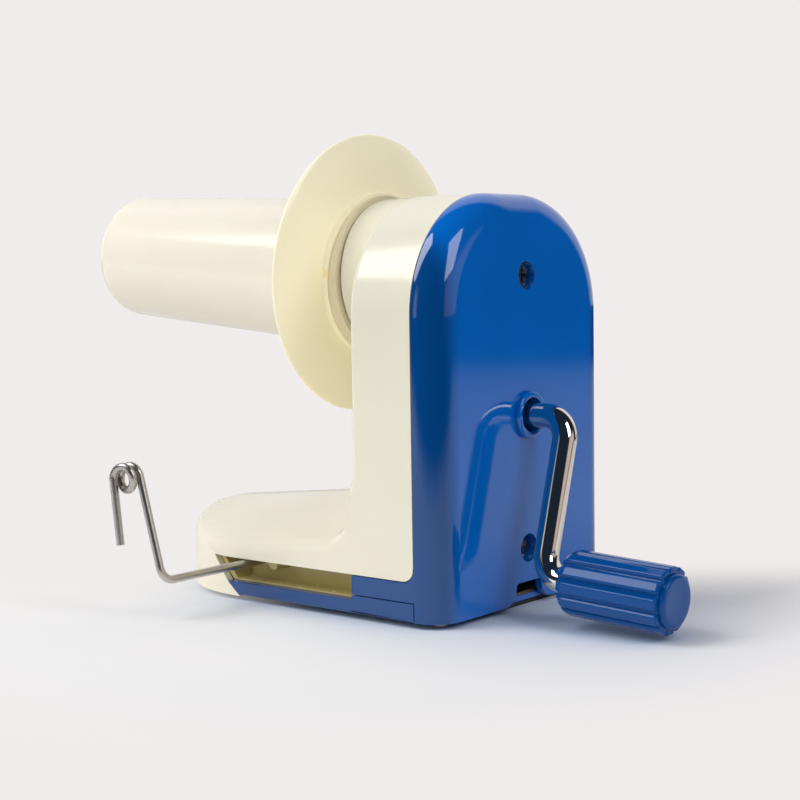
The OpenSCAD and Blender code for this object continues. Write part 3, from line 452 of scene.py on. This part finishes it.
# Fixed shells
def make_cover():
    """Blue rear cover: an arched block, rounded at the rear, opened, and given its wall."""
    cover = block((X_REAR, -HALF_W, BASE_Z), (X_PART, HALF_W, TOWER_TOP))
    round_edges(cover, ARCH_R, 30, lambda e: lies(e, 2, TOWER_TOP) and runs(e, 0))
    round_edges(cover, COVER_ROUND, 14, lambda e: lies(e, 0, X_REAR) and not lies(e, 2, BASE_Z))
    pick(cover, "FACE", lambda f: lies(f, 0, X_PART) or lies(f, 2, BASE_Z))
    bpy.ops.mesh.delete(type="FACE")
    for height in (TRAY_RIM, SHELL_EDGE, SHELL_EDGE + CORNER_R):
        bpy.ops.mesh.select_all(action="SELECT")
        bpy.ops.mesh.bisect(plane_co=(0, 0, height * MM), plane_no=(0, 0, 1))
    # the skirt under the front shell, drawn forward round the shell's rounded corner
    x, top = X_PART, SHELL_EDGE + CORNER_R
    for turn in range(15, 91, 15):
        lean = math.radians(turn)
        reach = X_PART + CORNER_R * (1 - math.cos(lean))
        drop = SHELL_EDGE + CORNER_R * (1 - math.sin(lean))
        pick(cover, "EDGE", lambda e: lies(e, 0, x) and TRAY_RIM < middle(e).z < top)
        bpy.ops.mesh.extrude_edges_move(TRANSFORM_OT_translate={"value": ((reach - x) * MM, 0, 0)})
        pick(cover, "VERT", lambda v: lies(v, 0, reach) and lies(v, 2, top))
        bpy.ops.transform.translate(value=(0, 0, (drop - top) * MM))
        x, top = reach, drop
    bpy.ops.mesh.select_all(action="SELECT")
    bpy.ops.mesh.remove_doubles(threshold=4e-5)
    pick(cover, "EDGE", lambda e: lies(e, 0, x) and TRAY_RIM < middle(e).z < SHELL_EDGE)
    bpy.ops.mesh.extrude_edges_move(TRANSFORM_OT_translate={"value": ((SLOT_X0 - x) * MM, 0, 0)})
    thicken(cover, WALL)
    # bearing bosses inside, then the bores and the two screw wells
    for radius, height, depth in ((10.5, CRANK_Z, 6.4), (9.0, SPINDLE_Z, 6.5), (7.2, SCREW_Z, 5.5)):
        start = X_REAR + WALL - 0.5
        carve(cover, bar(radius, (start, 0, height), (start + depth, 0, height)), "UNION")
    outside, inside = X_REAR - 2, X_PART + 3
    for radius, height, x0, x1 in (
            (CRANK_SEAT_R, CRANK_Z, outside, inside),
            (WELL_R, SPINDLE_Z, outside, WELL_FLOOR), (SHAFT_SEAT_R, SPINDLE_Z, WELL_FLOOR - 1, inside),
            (WELL_R, SCREW_Z, outside, WELL_FLOOR), (SCREW_HOLE_R, SCREW_Z, WELL_FLOOR - 1, inside)):
        carve(cover, bar(radius, (x0, 0, height), (x1, 0, height)))
    # the clamp notch with its flared foot
    notch = block((outside, -NOTCH_HALF, -1), (X_REAR + 8, NOTCH_HALF, NOTCH_TOP))
    round_edges(notch, NOTCH_ROUND, 4, lambda e: runs(e, 0) and lies(e, 2, NOTCH_TOP))
    put_down()
    carve(cover, notch)
    round_edges(cover, NOTCH_FLARE, 8, lambda e: runs(e, 0) and lies(e, 2, BASE_Z)
                and abs(abs(middle(e).y) - NOTCH_HALF) < 0.2)
    soften(cover, 0.45)
    settle(cover, "rear_cover_shell", "frame", "blue_gloss", "rear_cover")


def make_front_shell():
    """Cream shell: arched tower and crowned tongue foot in one skin, with the spindle boss."""
    shell = block((X_PART + SEAM, -HALF_W, SHELL_EDGE + SEAM), (X_FRONT, HALF_W, TOWER_TOP))
    round_edges(shell, ARCH_R, 30, lambda e: lies(e, 2, TOWER_TOP) and runs(e, 0))
    foot = block((X_FRONT - 4, -HALF_W, BASE_Z - 0.4), (NOSE_X + HALF_W, HALF_W, CREST_Z))
    round_edges(foot, HALF_W - 0.01, 40, lambda e: lies(e, 0, NOSE_X + HALF_W) and runs(e, 2))
    put_down()
    carve(shell, foot, "UNION")
    carve(shell, block((X_PART - 2, -60, -1), (SLOT_X0 + SEAM, 60, SHELL_EDGE + SEAM)))
    pick(shell, "FACE", lambda f: True)
    bpy.ops.mesh.remove_doubles(threshold=4e-5)
    bpy.ops.mesh.dissolve_limited(angle_limit=math.radians(0.3))
    # fillet between foot and tower, soft rim all round, rounded lower rear corners
    round_edges(shell, FOOT_FILLET, 9, lambda e: lies(e, 0, X_FRONT) and lies(e, 2, CREST_Z))
    sharp = 0.7
    round_edges(shell, RIM_R, 5, lambda e: len(e.link_faces) == 2 and e.calc_face_angle(0) > sharp
                and e.is_convex and middle(e).x > X_PART + 3 and middle(e).z > SHELL_EDGE + 2
                and not lies(e, 0, SLOT_X0 + SEAM))
    round_edges(shell, CORNER_R - SEAM, 6, lambda e: runs(e, 1) and lies(e, 0, X_PART + SEAM)
                and lies(e, 2, SHELL_EDGE + SEAM))
    # the foot's top falls towards the nose and is crowned across
    strips = 12
    for k in range(1 - strips, strips):
        pick(shell, "FACE", lambda f: middle(f).x > X_FRONT - 1)
        bpy.ops.mesh.bisect(plane_co=(0, k * HALF_W / strips * MM, 0), plane_no=(0, 1, 0))
    rising = CREST_Z + FOOT_FILLET

    def on_top(corner):
        height = corner.co.z / MM
        return corner.co.x / MM > X_FRONT + 0.5 and CREST_Z - RIM_R - 0.1 < height < rising - 0.1

    pick(shell, "VERT", lambda v: on_top(v) and v.co.x / MM > X_FRONT + FOOT_FILLET - 0.1)
    bpy.ops.transform.rotate(
        value=-FOOT_FALL, orient_axis="Y", center_override=(X_FRONT * MM, 0, CREST_Z * MM))
    rows = {}
    for corner in bmesh.from_edit_mesh(shell.data).verts:
        if corner.co.x / MM > X_FRONT + 0.5 and 20 < corner.co.z / MM < rising - 0.1:
            level = min(1.0, (rising - corner.co.z / MM) / FOOT_FILLET)
            rows.setdefault((round(abs(corner.co.y) / MM, 1), round(level, 2)), []).append(corner.index)
    for (across, level), row in rows.items():
        held = set(row)
        pick(shell, "VERT", lambda v: v.index in held)
        sag = CROWN_R - math.sqrt(CROWN_R ** 2 - across ** 2)
        bpy.ops.transform.translate(value=(0, 0, -sag * level * MM))
    pick(shell, "FACE", lambda f: (f.normal.x < -0.99 and middle(f).x < X_PART + 1)
         or (f.normal.z < -0.99 and middle(f).z < SHELL_EDGE + 1)
         or (f.normal.x < -0.99 and middle(f).z < SHELL_EDGE))
    bpy.ops.mesh.delete(type="FACE")
    thicken(shell, WALL)
    boss = bar(BOSS_R - 0.1, (5, 0, SPINDLE_Z), (X_BOSS, 0, SPINDLE_Z), 120)
    round_edges(boss, 1.4, 4, lambda e: lies(e, 0, X_BOSS))
    carve(shell, boss, "UNION")
    carve(shell, bar(BOSS_R - WALL, (-10, 0, SPINDLE_Z), (X_BOSS - 4, 0, SPINDLE_Z), 120))
    seat_ring = bar(JOURNAL_R + 5, (15.5, 0, SPINDLE_Z), (X_BOSS - 1, 0, SPINDLE_Z), 96)
    carve(shell, seat_ring, "UNION")
    carve(shell, bar(JOURNAL_R + 2.05, (-10, 0, SPINDLE_Z), (X_BOSS + 5, 0, SPINDLE_Z), 120))
    # stow slot on the guide side, low edge on the far side
    slot = block((X_FRONT - 2, HALF_W - WALL - 4, SLOT_Z0), (SLOT_X1, HALF_W + PAST, SHELL_EDGE + SEAM))
    pick(slot, "EDGE", lambda e: runs(e, 1) and lies(e, 0, SLOT_X1) and lies(e, 2, SHELL_EDGE + SEAM))
    bpy.ops.transform.translate(value=(SCOOP * MM, 0, 0))
    put_down()
    carve(shell, slot)
    deep = -2
    slide = LIP_SLANT * (SLOT_Z0 - deep) / (SLOT_Z0 - BASE_Z)
    for y0, y1, high in ((HALF_W - WALL - 1, HALF_W + PAST, SLOT_Z0 + 0.01),
                         (-HALF_W - PAST, -HALF_W + WALL + 1, SLOT_Z0 + SEAM)):
        under = block((X_FRONT - 2, y0, deep), (SLOT_X1, y1, high))
        pick(under, "EDGE", lambda e: runs(e, 1) and lies(e, 0, SLOT_X1) and lies(e, 2, deep))
        bpy.ops.transform.translate(value=(-slide * MM, 0, 0))
        put_down()
        carve(shell, under)
    soften(shell, 0.4)
    settle(shell, "front_shell_skin", "frame", "cream_gloss", "front_shell")


def make_tray():
    """Blue base tray: a tongue shaped floor with side rims and the lips of the stow slot."""
    side, sheet, rim_in = HALF_W - WALL - PLAY, 2, 7
    tray = block((X_PART - 1, -side, BASE_Z), (NOSE_X + side, side, BASE_Z + sheet))
    round_edges(tray, side - 0.01, 32, lambda e: lies(e, 0, NOSE_X + side) and runs(e, 2))
    put_down()
    back = X_REAR + WALL + PLAY
    rear = block((back, -side + SEAM, BASE_Z), (X_PART, side - SEAM, BASE_Z + sheet))
    round_edges(rear, 8.2, 8, lambda e: lies(e, 0, back) and runs(e, 2))
    put_down()
    carve(tray, rear, "UNION")
    for sign in (-1, 1):
        def across(inner, outer):
            return sorted((sign * inner, sign * outer))
        y0, y1 = across(HALF_W - rim_in, HALF_W)
        rim = block((X_PART + SEAM, y0, BASE_Z), (SLOT_X0, y1, BASE_Z + sheet))
        carve(tray, rim, "UNION")
        y0, y1 = across(HALF_W - WALL, HALF_W)
        carve(tray, block((X_PART + SEAM, y0, BASE_Z + 0.5), (SLOT_X0, y1, TRAY_RIM - SEAM)), "UNION")
        y0, y1 = across(HALF_W - (SLOT_DEEP if sign > 0 else rim_in), HALF_W)
        lip = block((SLOT_X0 - 2, y0, BASE_Z), (SLOT_X1 - SEAM, y1, SLOT_Z0))
        pick(lip, "EDGE", lambda e: runs(e, 1) and lies(e, 0, SLOT_X1 - SEAM) and lies(e, 2, BASE_Z))
        bpy.ops.transform.translate(value=(-LIP_SLANT * MM, 0, 0))
        put_down()
        carve(tray, lip, "UNION")
    round_edges(tray, 1.1, 4, lambda e: runs(e, 0) and lies(e, 2, BASE_Z)
                and abs(middle(e).y) > HALF_W - 0.1)
    for x, y in TRAY_SCREWS:
        carve(tray, bar(TRAY_HOLE_R, (x, y, -1), (x, y, 8), 32))
    soften(tray, 0.35)
    settle(tray, "base_tray_shell", "frame", "blue_gloss", "base_tray")


def make_stow_liner():
    """Liner of the stow slot: a box open to the side, slanted at its front, with the wire's rest."""
    back, front = HALF_W - SLOT_DEEP, HALF_W - WALL - PLAY
    low, high, end = SLOT_Z0 + 0.05, LINER_TOP, SLOT_X1 - SEAM
    floor, roof, far = low + LINER_FLOOR, high - LINER_ROOF, end - LINER_WALL
    slant = SCOOP / (SHELL_EDGE + SEAM - SLOT_Z0)
    liner = block((SLOT_X0, back, low), (end, front, high))
    pick(liner, "EDGE", lambda e: runs(e, 1) and lies(e, 0, end) and lies(e, 2, high))
    bpy.ops.transform.translate(value=(slant * (high - low) * MM, 0, 0))
    put_down()
    inner = back + LINER_WALL
    room = block((SLOT_X0 + LINER_WALL, inner, floor), (far, front + PAST, roof))
    pick(room, "EDGE", lambda e: runs(e, 1) and lies(e, 0, far) and lies(e, 2, roof))
    bpy.ops.transform.translate(value=(slant * (roof - floor) * MM, 0, 0))
    put_down()
    round_edges(room, LINER_ROUND, 6, lambda e: lies(e, 1, inner)
                and (runs(e, 2) or runs(e, 0) and lies(e, 2, floor)))
    put_down()
    carve(liner, room)
    rest_x, rest_z, rest_end = GUIDE_X - REST_BACK, GUIDE_Z - 0.3, back + 10
    rest = bar(REST_R, (rest_x, back + 1, rest_z), (rest_x, rest_end, rest_z), 40)
    round_edges(rest, 0.5, 3, lambda e: lies(e, 1, rest_end))
    put_down()
    carve(liner, rest, "UNION")
    carve(liner, bar(PIVOT_R, (GUIDE_X, back - 2, GUIDE_Z), (GUIDE_X, back + 4, GUIDE_Z), 48))
    soften(liner, 0.25)
    # the liner's cream is darkened to khaki: painted shade for the slot's hollow
    settle(liner, "stow_slot_liner", "frame", "cream_gloss", "stow_pocket", look="liner_khaki")


def make_collar():
    """Collar of the crank: a turned bush, pairs of radius and depth."""
    rim = [(6.4, 0.6), (6.55, 0.2), (7.0, 0.0), (7.9, 0.03), (8.4, 0.25), (8.7, 0.7), (8.8, 1.2), (8.8, 2.35),
           (7.5, 2.35), (7.5, 11.4), (4.55, 11.4), (4.55, 9.0), (6.3, 9.0)]
    collar = turned(rim, (X_REAR - 2.4, 0, CRANK_Z), (1, 0, 0), 72)
    settle(collar, "crank_collar", "frame", "blue_gloss", "crank_bush", smooth=40)


# Crank and knob
def make_crank_rod():
    """Chromed rod with two bends, from the tower to the knob's end."""
    out = Vector((-1, 0, 0))
    hang = Vector((0, math.sin(ARM_LEAN), -math.cos(ARM_LEAN)))
    top = Vector((ARM_X, 0, CRANK_Z))
    bends = [math.radians(t) for t in range(0, 91, 6)]
    bends_low = [t * (1 - KNOB_DIP / (math.pi / 2)) for t in bends]
    leg = out * math.cos(KNOB_DIP) + hang * math.sin(KNOB_DIP)
    first = top - out * BEND_R + hang * BEND_R
    second = top + hang * ARM_DOWN + out * BEND_R
    path = [Vector((X_FRONT - WALL - 1.5, 0, CRANK_Z))]
    path += [first - hang * BEND_R * math.cos(t) + out * BEND_R * math.sin(t) for t in bends]
    path += [second - out * BEND_R * math.cos(t) + hang * BEND_R * math.sin(t) for t in bends_low]
    path += [Vector((KNOB_MID, KNOB_Y, KNOB_Z)) + leg * (KNOB_MID - KNOB_X1 - 6)]
    rod = drawn_wire(path, ROD_R, 10)
    settle(rod, "crank_bent_rod", "crank", "rod_chrome", "crank_rod", smooth=50)


def on_knob(piece):
    """Moves a piece modelled along X about the origin on to the knob's dipped axis."""
    place = Matrix.Translation(Vector((KNOB_MID, KNOB_Y, KNOB_Z)) * MM)
    piece.matrix_world = place @ Matrix.Rotation(ARM_LEAN, 4, "X") @ Matrix.Rotation(-KNOB_DIP, 4, "Y")
    return seat(piece)


def make_knob():
    """Fluted grip: a scalloped ring drawn out along the rod's end and rounded over at the inner end."""
    outer, around = KNOB_X1 - KNOB_MID, 16
    put_down()
    bpy.ops.mesh.primitive_circle_add(
        vertices=FLUTES * around, radius=KNOB_R * MM, fill_type="NOTHING",
        location=(outer * MM, 0, 0), rotation=(0, math.pi / 2, 0))
    knob = seat(bpy.context.object)

    def from_groove(corner):
        step = round(math.atan2(corner.co.z, corner.co.y) * FLUTES * around / (2 * math.pi)) % around
        return min(step, around - step)

    for step, radius in enumerate((10.4, 10.45, 10.95, 11.55, 11.78, 11.77, 11.74, 11.71, 11.7)):
        pick(knob, "VERT", lambda v: from_groove(v) == step)
        share = radius / KNOB_R
        bpy.ops.transform.resize(value=(1, share, share), center_override=(outer * MM, 0, 0))
    pick(knob, "VERT", lambda v: True)
    size = 0.965
    bpy.ops.transform.resize(value=(1, size, size), center_override=(outer * MM, 0, 0))
    at = outer
    # steps along the grip and its share of the full radius there: outside, inner end, bore, cap's seat
    for advance, share in ((0.3, 0.99), (0.6, 1.0), (35.6, 1.0), (1.4, 0.99), (1.1, 0.955), (0.9, 0.9),
                           (0.7, 0.83), (0.4, 0.74), (0.0, 0.455), (-34.8, 0.455), (0.0, 0.62), (-6.2, 0.62)):
        bpy.ops.mesh.extrude_edges_move(TRANSFORM_OT_translate={"value": (advance * MM, 0, 0)})
        at += advance
        bpy.ops.transform.resize(value=(1, share / size, share / size), center_override=(at * MM, 0, 0))
        size = share
    pick(knob, "EDGE", lambda e: e.is_boundary)
    bpy.ops.mesh.bridge_edge_loops()
    bpy.ops.mesh.select_all(action="SELECT")
    bpy.ops.mesh.normals_make_consistent(inside=False)
    put_down()
    settle(on_knob(knob), "knob_fluted_grip", "knob", "knob_blue", "knob_grip", smooth=40)
    face = [(0, 0.25), (6.0, 0.2), (7.6, 0.0), (8.7, 0.15), (9.2, 0.55), (9.4, 1.2), (9.4, 1.95),
            (6.9, 1.95), (6.9, 3.9), (0, 3.9)]
    cap = on_knob(turned(face, (outer - 2, 0, 0), (1, 0, 0), 72))
    settle(cap, "knob_end_cap", "knob", "knob_blue", "knob_cap", smooth=40)


# Skewed hub, flange disc and bobbin
def skewed(piece):
    """Moves a piece modelled along Z from the origin on to the skewed bobbin axis."""
    piece.location = (CROSS_X * MM, 0, SPINDLE_Z * MM)
    piece.rotation_euler = (0, math.pi / 2 - SKEW, 0)
    return seat(piece)


def make_hub():
    """Drum cut off square to the skewed axis, with its neck, journal and bore."""
    neck_r, journal_end_r, bush_r, pin_room_r = 12, 12.95, 8.05, 6
    neck_end, bush_start, past_end = 29, 9, 40
    axis = Vector((math.cos(SKEW), 0, math.sin(SKEW)))
    hub = bar(DRUM_R - 0.3, (X_BOSS + 0.45, 0, SPINDLE_Z), (X_BOSS + 25, 0, SPINDLE_Z), 120)
    pick(hub, "FACE", lambda f: True)
    face = Vector((CROSS_X, 0, SPINDLE_Z)) + axis * DRUM_S
    bpy.ops.mesh.bisect(plane_co=face * MM, plane_no=axis, use_fill=True, clear_outer=True)
    put_down()
    carve(hub, skewed(bar(neck_r, (0, 0, DRUM_S - 3), (0, 0, neck_end), 72)), "UNION")
    carve(hub, bar(journal_end_r, (29.6, 0, SPINDLE_Z), (X_BOSS + 2, 0, SPINDLE_Z), 72), "UNION")
    carve(hub, skewed(bar(bush_r, (0, 0, bush_start), (0, 0, past_end), 72)))
    carve(hub, skewed(bar(pin_room_r, (0, 0, -12), (0, 0, past_end), 72)))
    soften(hub, 0.5)
    # the hub wears the darker copy of the cream, painted shade where it sits between boss and disc
    settle(hub, "skewed_hub_drum", "hub", "cream_gloss", "skew_hub", smooth=40, look="hub_cream")


def make_disc():
    """Flange disc: a turned dish with a collar against the hub, pairs of radius and distance."""
    dish = [(13, 0), (31.2, 0), (31.6, 0.12), (31.8, 0.5), (31.8, 2.15), (31.95, 2.5), (32.4, 2.62),
            (35, 2.74), (38, 2.95), (41, 3.25), (44, 3.65), (47, 4.2), (49.5, 4.8), (51.5, 5.4),
            (52.9, 5.95), (53.6, 6.4), (53.95, 6.8), (54, 7.1), (53.9, 7.35), (53.6, 7.5), (26, 7.5),
            (26, 3), (13, 3)]
    disc = skewed(turned([(r, s + DISC_S) for r, s in dish], (0, 0, 0), (0, 0, 1), 160))
    # small snap window in the collar
    window_low, window_high = (39.3, 29.2, 122.6), (41.2, 33.4, 125.9)
    carve(disc, block(window_low, window_high))
    settle(disc, "flange_disc_dish", "bobbin", "disc_cream", "flange_disc", smooth=40)


def make_bobbin():
    """Tapered tube with a rounded tip and a yarn slit, closed by a plug."""
    plug_seat_r, slit_half, slit_s = 12.05, 0.9, BOBBIN_S - 26
    foot_s = DISC_S + DISC_LEN + 0.05
    length = BOBBIN_S - DISC_S - DISC_LEN
    turn = [math.radians(t) for t in range(0, 91, 9)]
    mid_r, mid_s, inner = BOBBIN_R1 - TIP_ROUND, length - TIP_ROUND, TIP_ROUND - BOBBIN_WALL
    wall = [(BOBBIN_R0 - 0.4, 0), (BOBBIN_R0, 0.4)]
    wall += [(mid_r + TIP_ROUND * math.cos(t), mid_s + TIP_ROUND * math.sin(t)) for t in turn]
    wall += [(12.4, length), (plug_seat_r, length - 0.35), (plug_seat_r, length - BOBBIN_WALL)]
    wall += [(mid_r + inner * math.cos(t), mid_s + inner * math.sin(t)) for t in reversed(turn)]
    wall += [(BOBBIN_R0 - BOBBIN_WALL, 0)]
    bobbin = turned([(r, s + foot_s) for r, s in wall], (0, 0, 0), (0, 0, 1), 128)
    slit = block((8, -slit_half, slit_s), (40, slit_half, BOBBIN_S + 2))
    round_edges(slit, slit_half - 0.05, 4, lambda e: runs(e, 0) and lies(e, 2, slit_s))
    put_down()
    carve(bobbin, slit)
    settle(skewed(bobbin), "bobbin_tube", "bobbin", "bobbin_cream", "bobbin", smooth=40)
    plug = [(0, 0.1), (10.6, 0.0), (11.6, -0.25), (12, -0.7), (12, -2.45), (15, -2.45), (15, -3.95),
            (0, -3.95)]
    cap = skewed(turned([(r, s + BOBBIN_S - 0.6) for r, s in plug], (0, 0, 0), (0, 0, 1), 72))
    settle(cap, "bobbin_end_plug", "bobbin", "bobbin_cream", "bobbin_cap", smooth=40)


# Yarn guide
def make_yarn_guide():
    """One bent wire: straight hinge part, upright, pigtail eye of one and a half turns and free leg."""
    side = Vector((0, 1, 0))
    up = Vector((math.sin(GUIDE_LEAN), 0, math.cos(GUIDE_LEAN)))
    out = Vector((math.cos(GUIDE_LEAN), 0, -math.sin(GUIDE_LEAN)))
    knee = Vector((GUIDE_X, REACH - GUIDE_BEND, GUIDE_Z))
    root = Vector((GUIDE_X, REACH, GUIDE_Z))
    eye = root + up * GUIDE_UP + out * EYE_R
    path = [Vector((GUIDE_X, 2, GUIDE_Z))]
    for t in range(0, 91, 9):
        a = math.radians(t)
        path.append(knee + up * GUIDE_BEND * (1 - math.cos(a)) + side * GUIDE_BEND * math.sin(a))
    path += [root + up * GUIDE_UP * share for share in (0.4, 0.7, 0.9)]
    points = 90
    for i in range(points + 1):
        turn = EYE_TURN * i / points
        a = math.radians(180 - turn)
        path.append(eye + (out * math.cos(a) + up * math.sin(a)) * EYE_R + side * EYE_PITCH * turn / 360)
    last = math.radians(180 - EYE_TURN)
    leg = out * math.sin(last) - up * math.cos(last)
    path += [path[-1] + leg * LEG * share for share in (0.15, 0.5, 1.0)]
    wire = drawn_wire(path, WIRE_R, 8)
    soften(wire, 0.25, 60)
    settle(wire, "yarn_guide_wire", "guide", "wire_steel", "yarn_guide", smooth=50)


# Floor, background and studio light
def softbox(name, toward, distance, wide, tall, power, mirrored=True):
    """A lamp that faces the object. One that isn't mirrored doesn't show in the gloss."""
    aim = Vector((0.02, 0, 0.09))
    lamp = bpy.data.lights.new(name, "AREA")
    lamp.shape, lamp.size, lamp.size_y, lamp.energy = "RECTANGLE", wide, tall, power
    holder = bpy.data.objects.new(name, lamp)
    way = Vector(toward).normalized()
    holder.location = aim + way * distance
    holder.rotation_euler = way.to_track_quat("Z", "Y").to_euler()
    holder.visible_glossy = mirrored
    scene.collection.objects.link(holder)


BACKDROP, DIM_ROOM = (0.872, 0.840, 0.832), (0.012, 0.022, 0.04)
AWAY, TOWARD = (0.631, -0.776, 0.0), (-0.631, 0.776, 0.0)


def glowing(tree, kind, colour, strength=1.0):
    node = tree.nodes.new(kind)
    node.inputs["Color"].default_value = (*colour, 1)
    node.inputs["Strength"].default_value = strength
    return node


def set_floor():
    """Pale paper with a painted shadow close under the object, merged into the backdrop for the camera."""
    put_down()
    bpy.ops.mesh.primitive_circle_add(vertices=96, radius=6.0, fill_type="NGON", location=(0, 0, 0))
    floor = seat(bpy.context.object)
    floor.name = "studio_floor"
    paper = bpy.data.materials.new("studio_paper")
    paper.use_nodes = True
    tree = paper.node_tree
    tree.nodes.clear()
    # painted shadow: the paper turns a deeper bluish grey close under the object, where ambient occlusion
    # finds it hemmed in
    close = tree.nodes.new("ShaderNodeAmbientOcclusion")
    close.inputs["Distance"].default_value = 0.07
    under, clear = (0.52, 0.60, 0.72), (0.89, 0.87, 0.86)
    near = tree.nodes.new("ShaderNodeBsdfDiffuse")
    tone = blend_colours(tree, close.outputs["AO"], under, clear, 0.35, 1.0)
    tree.links.new(tone, near.inputs["Color"])
    bounce = tree.nodes.new("ShaderNodeBsdfDiffuse")
    bounce.inputs["Color"].default_value = (0.95, 0.93, 0.91, 1)
    far = glowing(tree, "ShaderNodeEmission", BACKDROP)
    dim = glowing(tree, "ShaderNodeEmission", DIM_ROOM)
    place = tree.nodes.new("ShaderNodeTexCoord").outputs["Object"]
    reach = vectors(tree, "LENGTH", vectors(tree, "SUBTRACT", place, (0.03, 0.02, 0.0)))
    # the camera sees the paper run into the backdrop, a little way behind the object
    behind = eased(tree, vectors(tree, "DOT_PRODUCT", place, AWAY), -0.02, 0.07)
    merges = sums(tree, "MAXIMUM", eased(tree, reach, 0.13, 0.22), behind)
    seen = mixed(tree, merges, near, far)
    # in the gloss the paper ends some way off, and sooner on the camera's side
    before = eased(tree, vectors(tree, "DOT_PRODUCT", place, TOWARD), 0.24, 0.60)
    ends = sums(tree, "MAXIMUM", eased(tree, reach, 1.2, 1.7), before)
    mirrored = mixed(tree, ends, bounce, dim)
    path = tree.nodes.new("ShaderNodeLightPath")
    last = mixed(tree, path.outputs["Is Camera Ray"], mirrored, seen)
    out = tree.nodes.new("ShaderNodeOutputMaterial")
    tree.links.new(last.outputs[0], out.inputs["Surface"])
    floor.data.materials.append(paper)


def set_surroundings():
    """Plain backdrop for the camera, soft fill for the light, and a room for the gloss."""
    studio = bpy.data.worlds.new("studio")
    scene.world = studio
    studio.use_nodes = True
    tree = studio.node_tree
    tree.nodes.clear()
    back = glowing(tree, "ShaderNodeBackground", BACKDROP)
    fill = glowing(tree, "ShaderNodeBackground", (0.93, 0.97, 1.05), 0.31)
    # what the gloss sees: the pale backdrop behind the object, a dim room elsewhere
    room = tree.nodes.new("ShaderNodeBackground")
    place = tree.nodes.new("ShaderNodeTexCoord").outputs["Generated"]
    facing = vectors(tree, "DOT_PRODUCT", place, AWAY)
    shown = blend_colours(tree, facing, DIM_ROOM, BACKDROP, 0.39, 0.50)
    around = vectors(tree, "NORMALIZE", vectors(tree, "MULTIPLY", place, (1, 1, 0)))
    low = tree.nodes.new("ShaderNodeMapRange")
    low.inputs["From Min"].default_value, low.inputs["From Max"].default_value = 0.45, 0.25
    tree.links.new(vectors(tree, "DOT_PRODUCT", place, (0, 0, 1)), low.inputs["Value"])
    # two upright cards at the sides, which draw the bright lines on the crank and the knob
    for heading, half, colour in ((68.6, 6.0, (1.2, 1.15, 1.1)), (197.0, 24.0, (0.62, 0.52, 0.46))):
        aim = math.radians(heading)
        edge = tree.nodes.new("ShaderNodeMapRange")
        edge.inputs["From Min"].default_value = math.cos(math.radians(half * 1.15))
        edge.inputs["From Max"].default_value = math.cos(math.radians(half * 0.85))
        toward = vectors(tree, "DOT_PRODUCT", around, (math.cos(aim), math.sin(aim), 0))
        tree.links.new(toward, edge.inputs["Value"])
        card = tree.nodes.new("ShaderNodeVectorMath")
        card.operation = "SCALE"
        card.inputs[0].default_value = colour
        level = sums(tree, "MULTIPLY", edge.outputs["Result"], low.outputs["Result"])
        tree.links.new(level, card.inputs["Scale"])
        shown = vectors(tree, "ADD", shown, card.outputs["Vector"])
    tree.links.new(shown, room.inputs["Color"])
    path = tree.nodes.new("ShaderNodeLightPath")
    gloss = mixed(tree, path.outputs["Is Glossy Ray"], fill, room)
    view = mixed(tree, path.outputs["Is Camera Ray"], gloss, back)
    out = tree.nodes.new("ShaderNodeOutputWorld")
    tree.links.new(view.outputs[0], out.inputs["Surface"])


def set_lamps():
    softbox("left_softbox", (0.48, 0.50, 0.72), 1.3, 0.55, 0.85, 8.8)
    softbox("right_softbox", (-0.79, 0.06, 0.61), 1.3, 0.5, 0.8, 5.4)
    softbox("front_fill", (0.30, 0.90, 0.35), 1.8, 1.2, 0.9, 8.5, mirrored=False)


# Assembly
set_camera()
set_floor()
set_surroundings()
set_lamps()
for node in frame["record"]["subparts"]:
    if node["material_slot"] in FINISH:
        skin = nodes[node["node"]].data
        skin.materials.clear()
        skin.materials.append(FINISH[node["material_slot"]])
make_cover()
make_front_shell()
make_tray()
make_stow_liner()
make_collar()
make_crank_rod()
make_knob()
make_hub()
make_disc()
make_bobbin()
make_yarn_guide()

scene.view_settings.view_transform = "Standard"
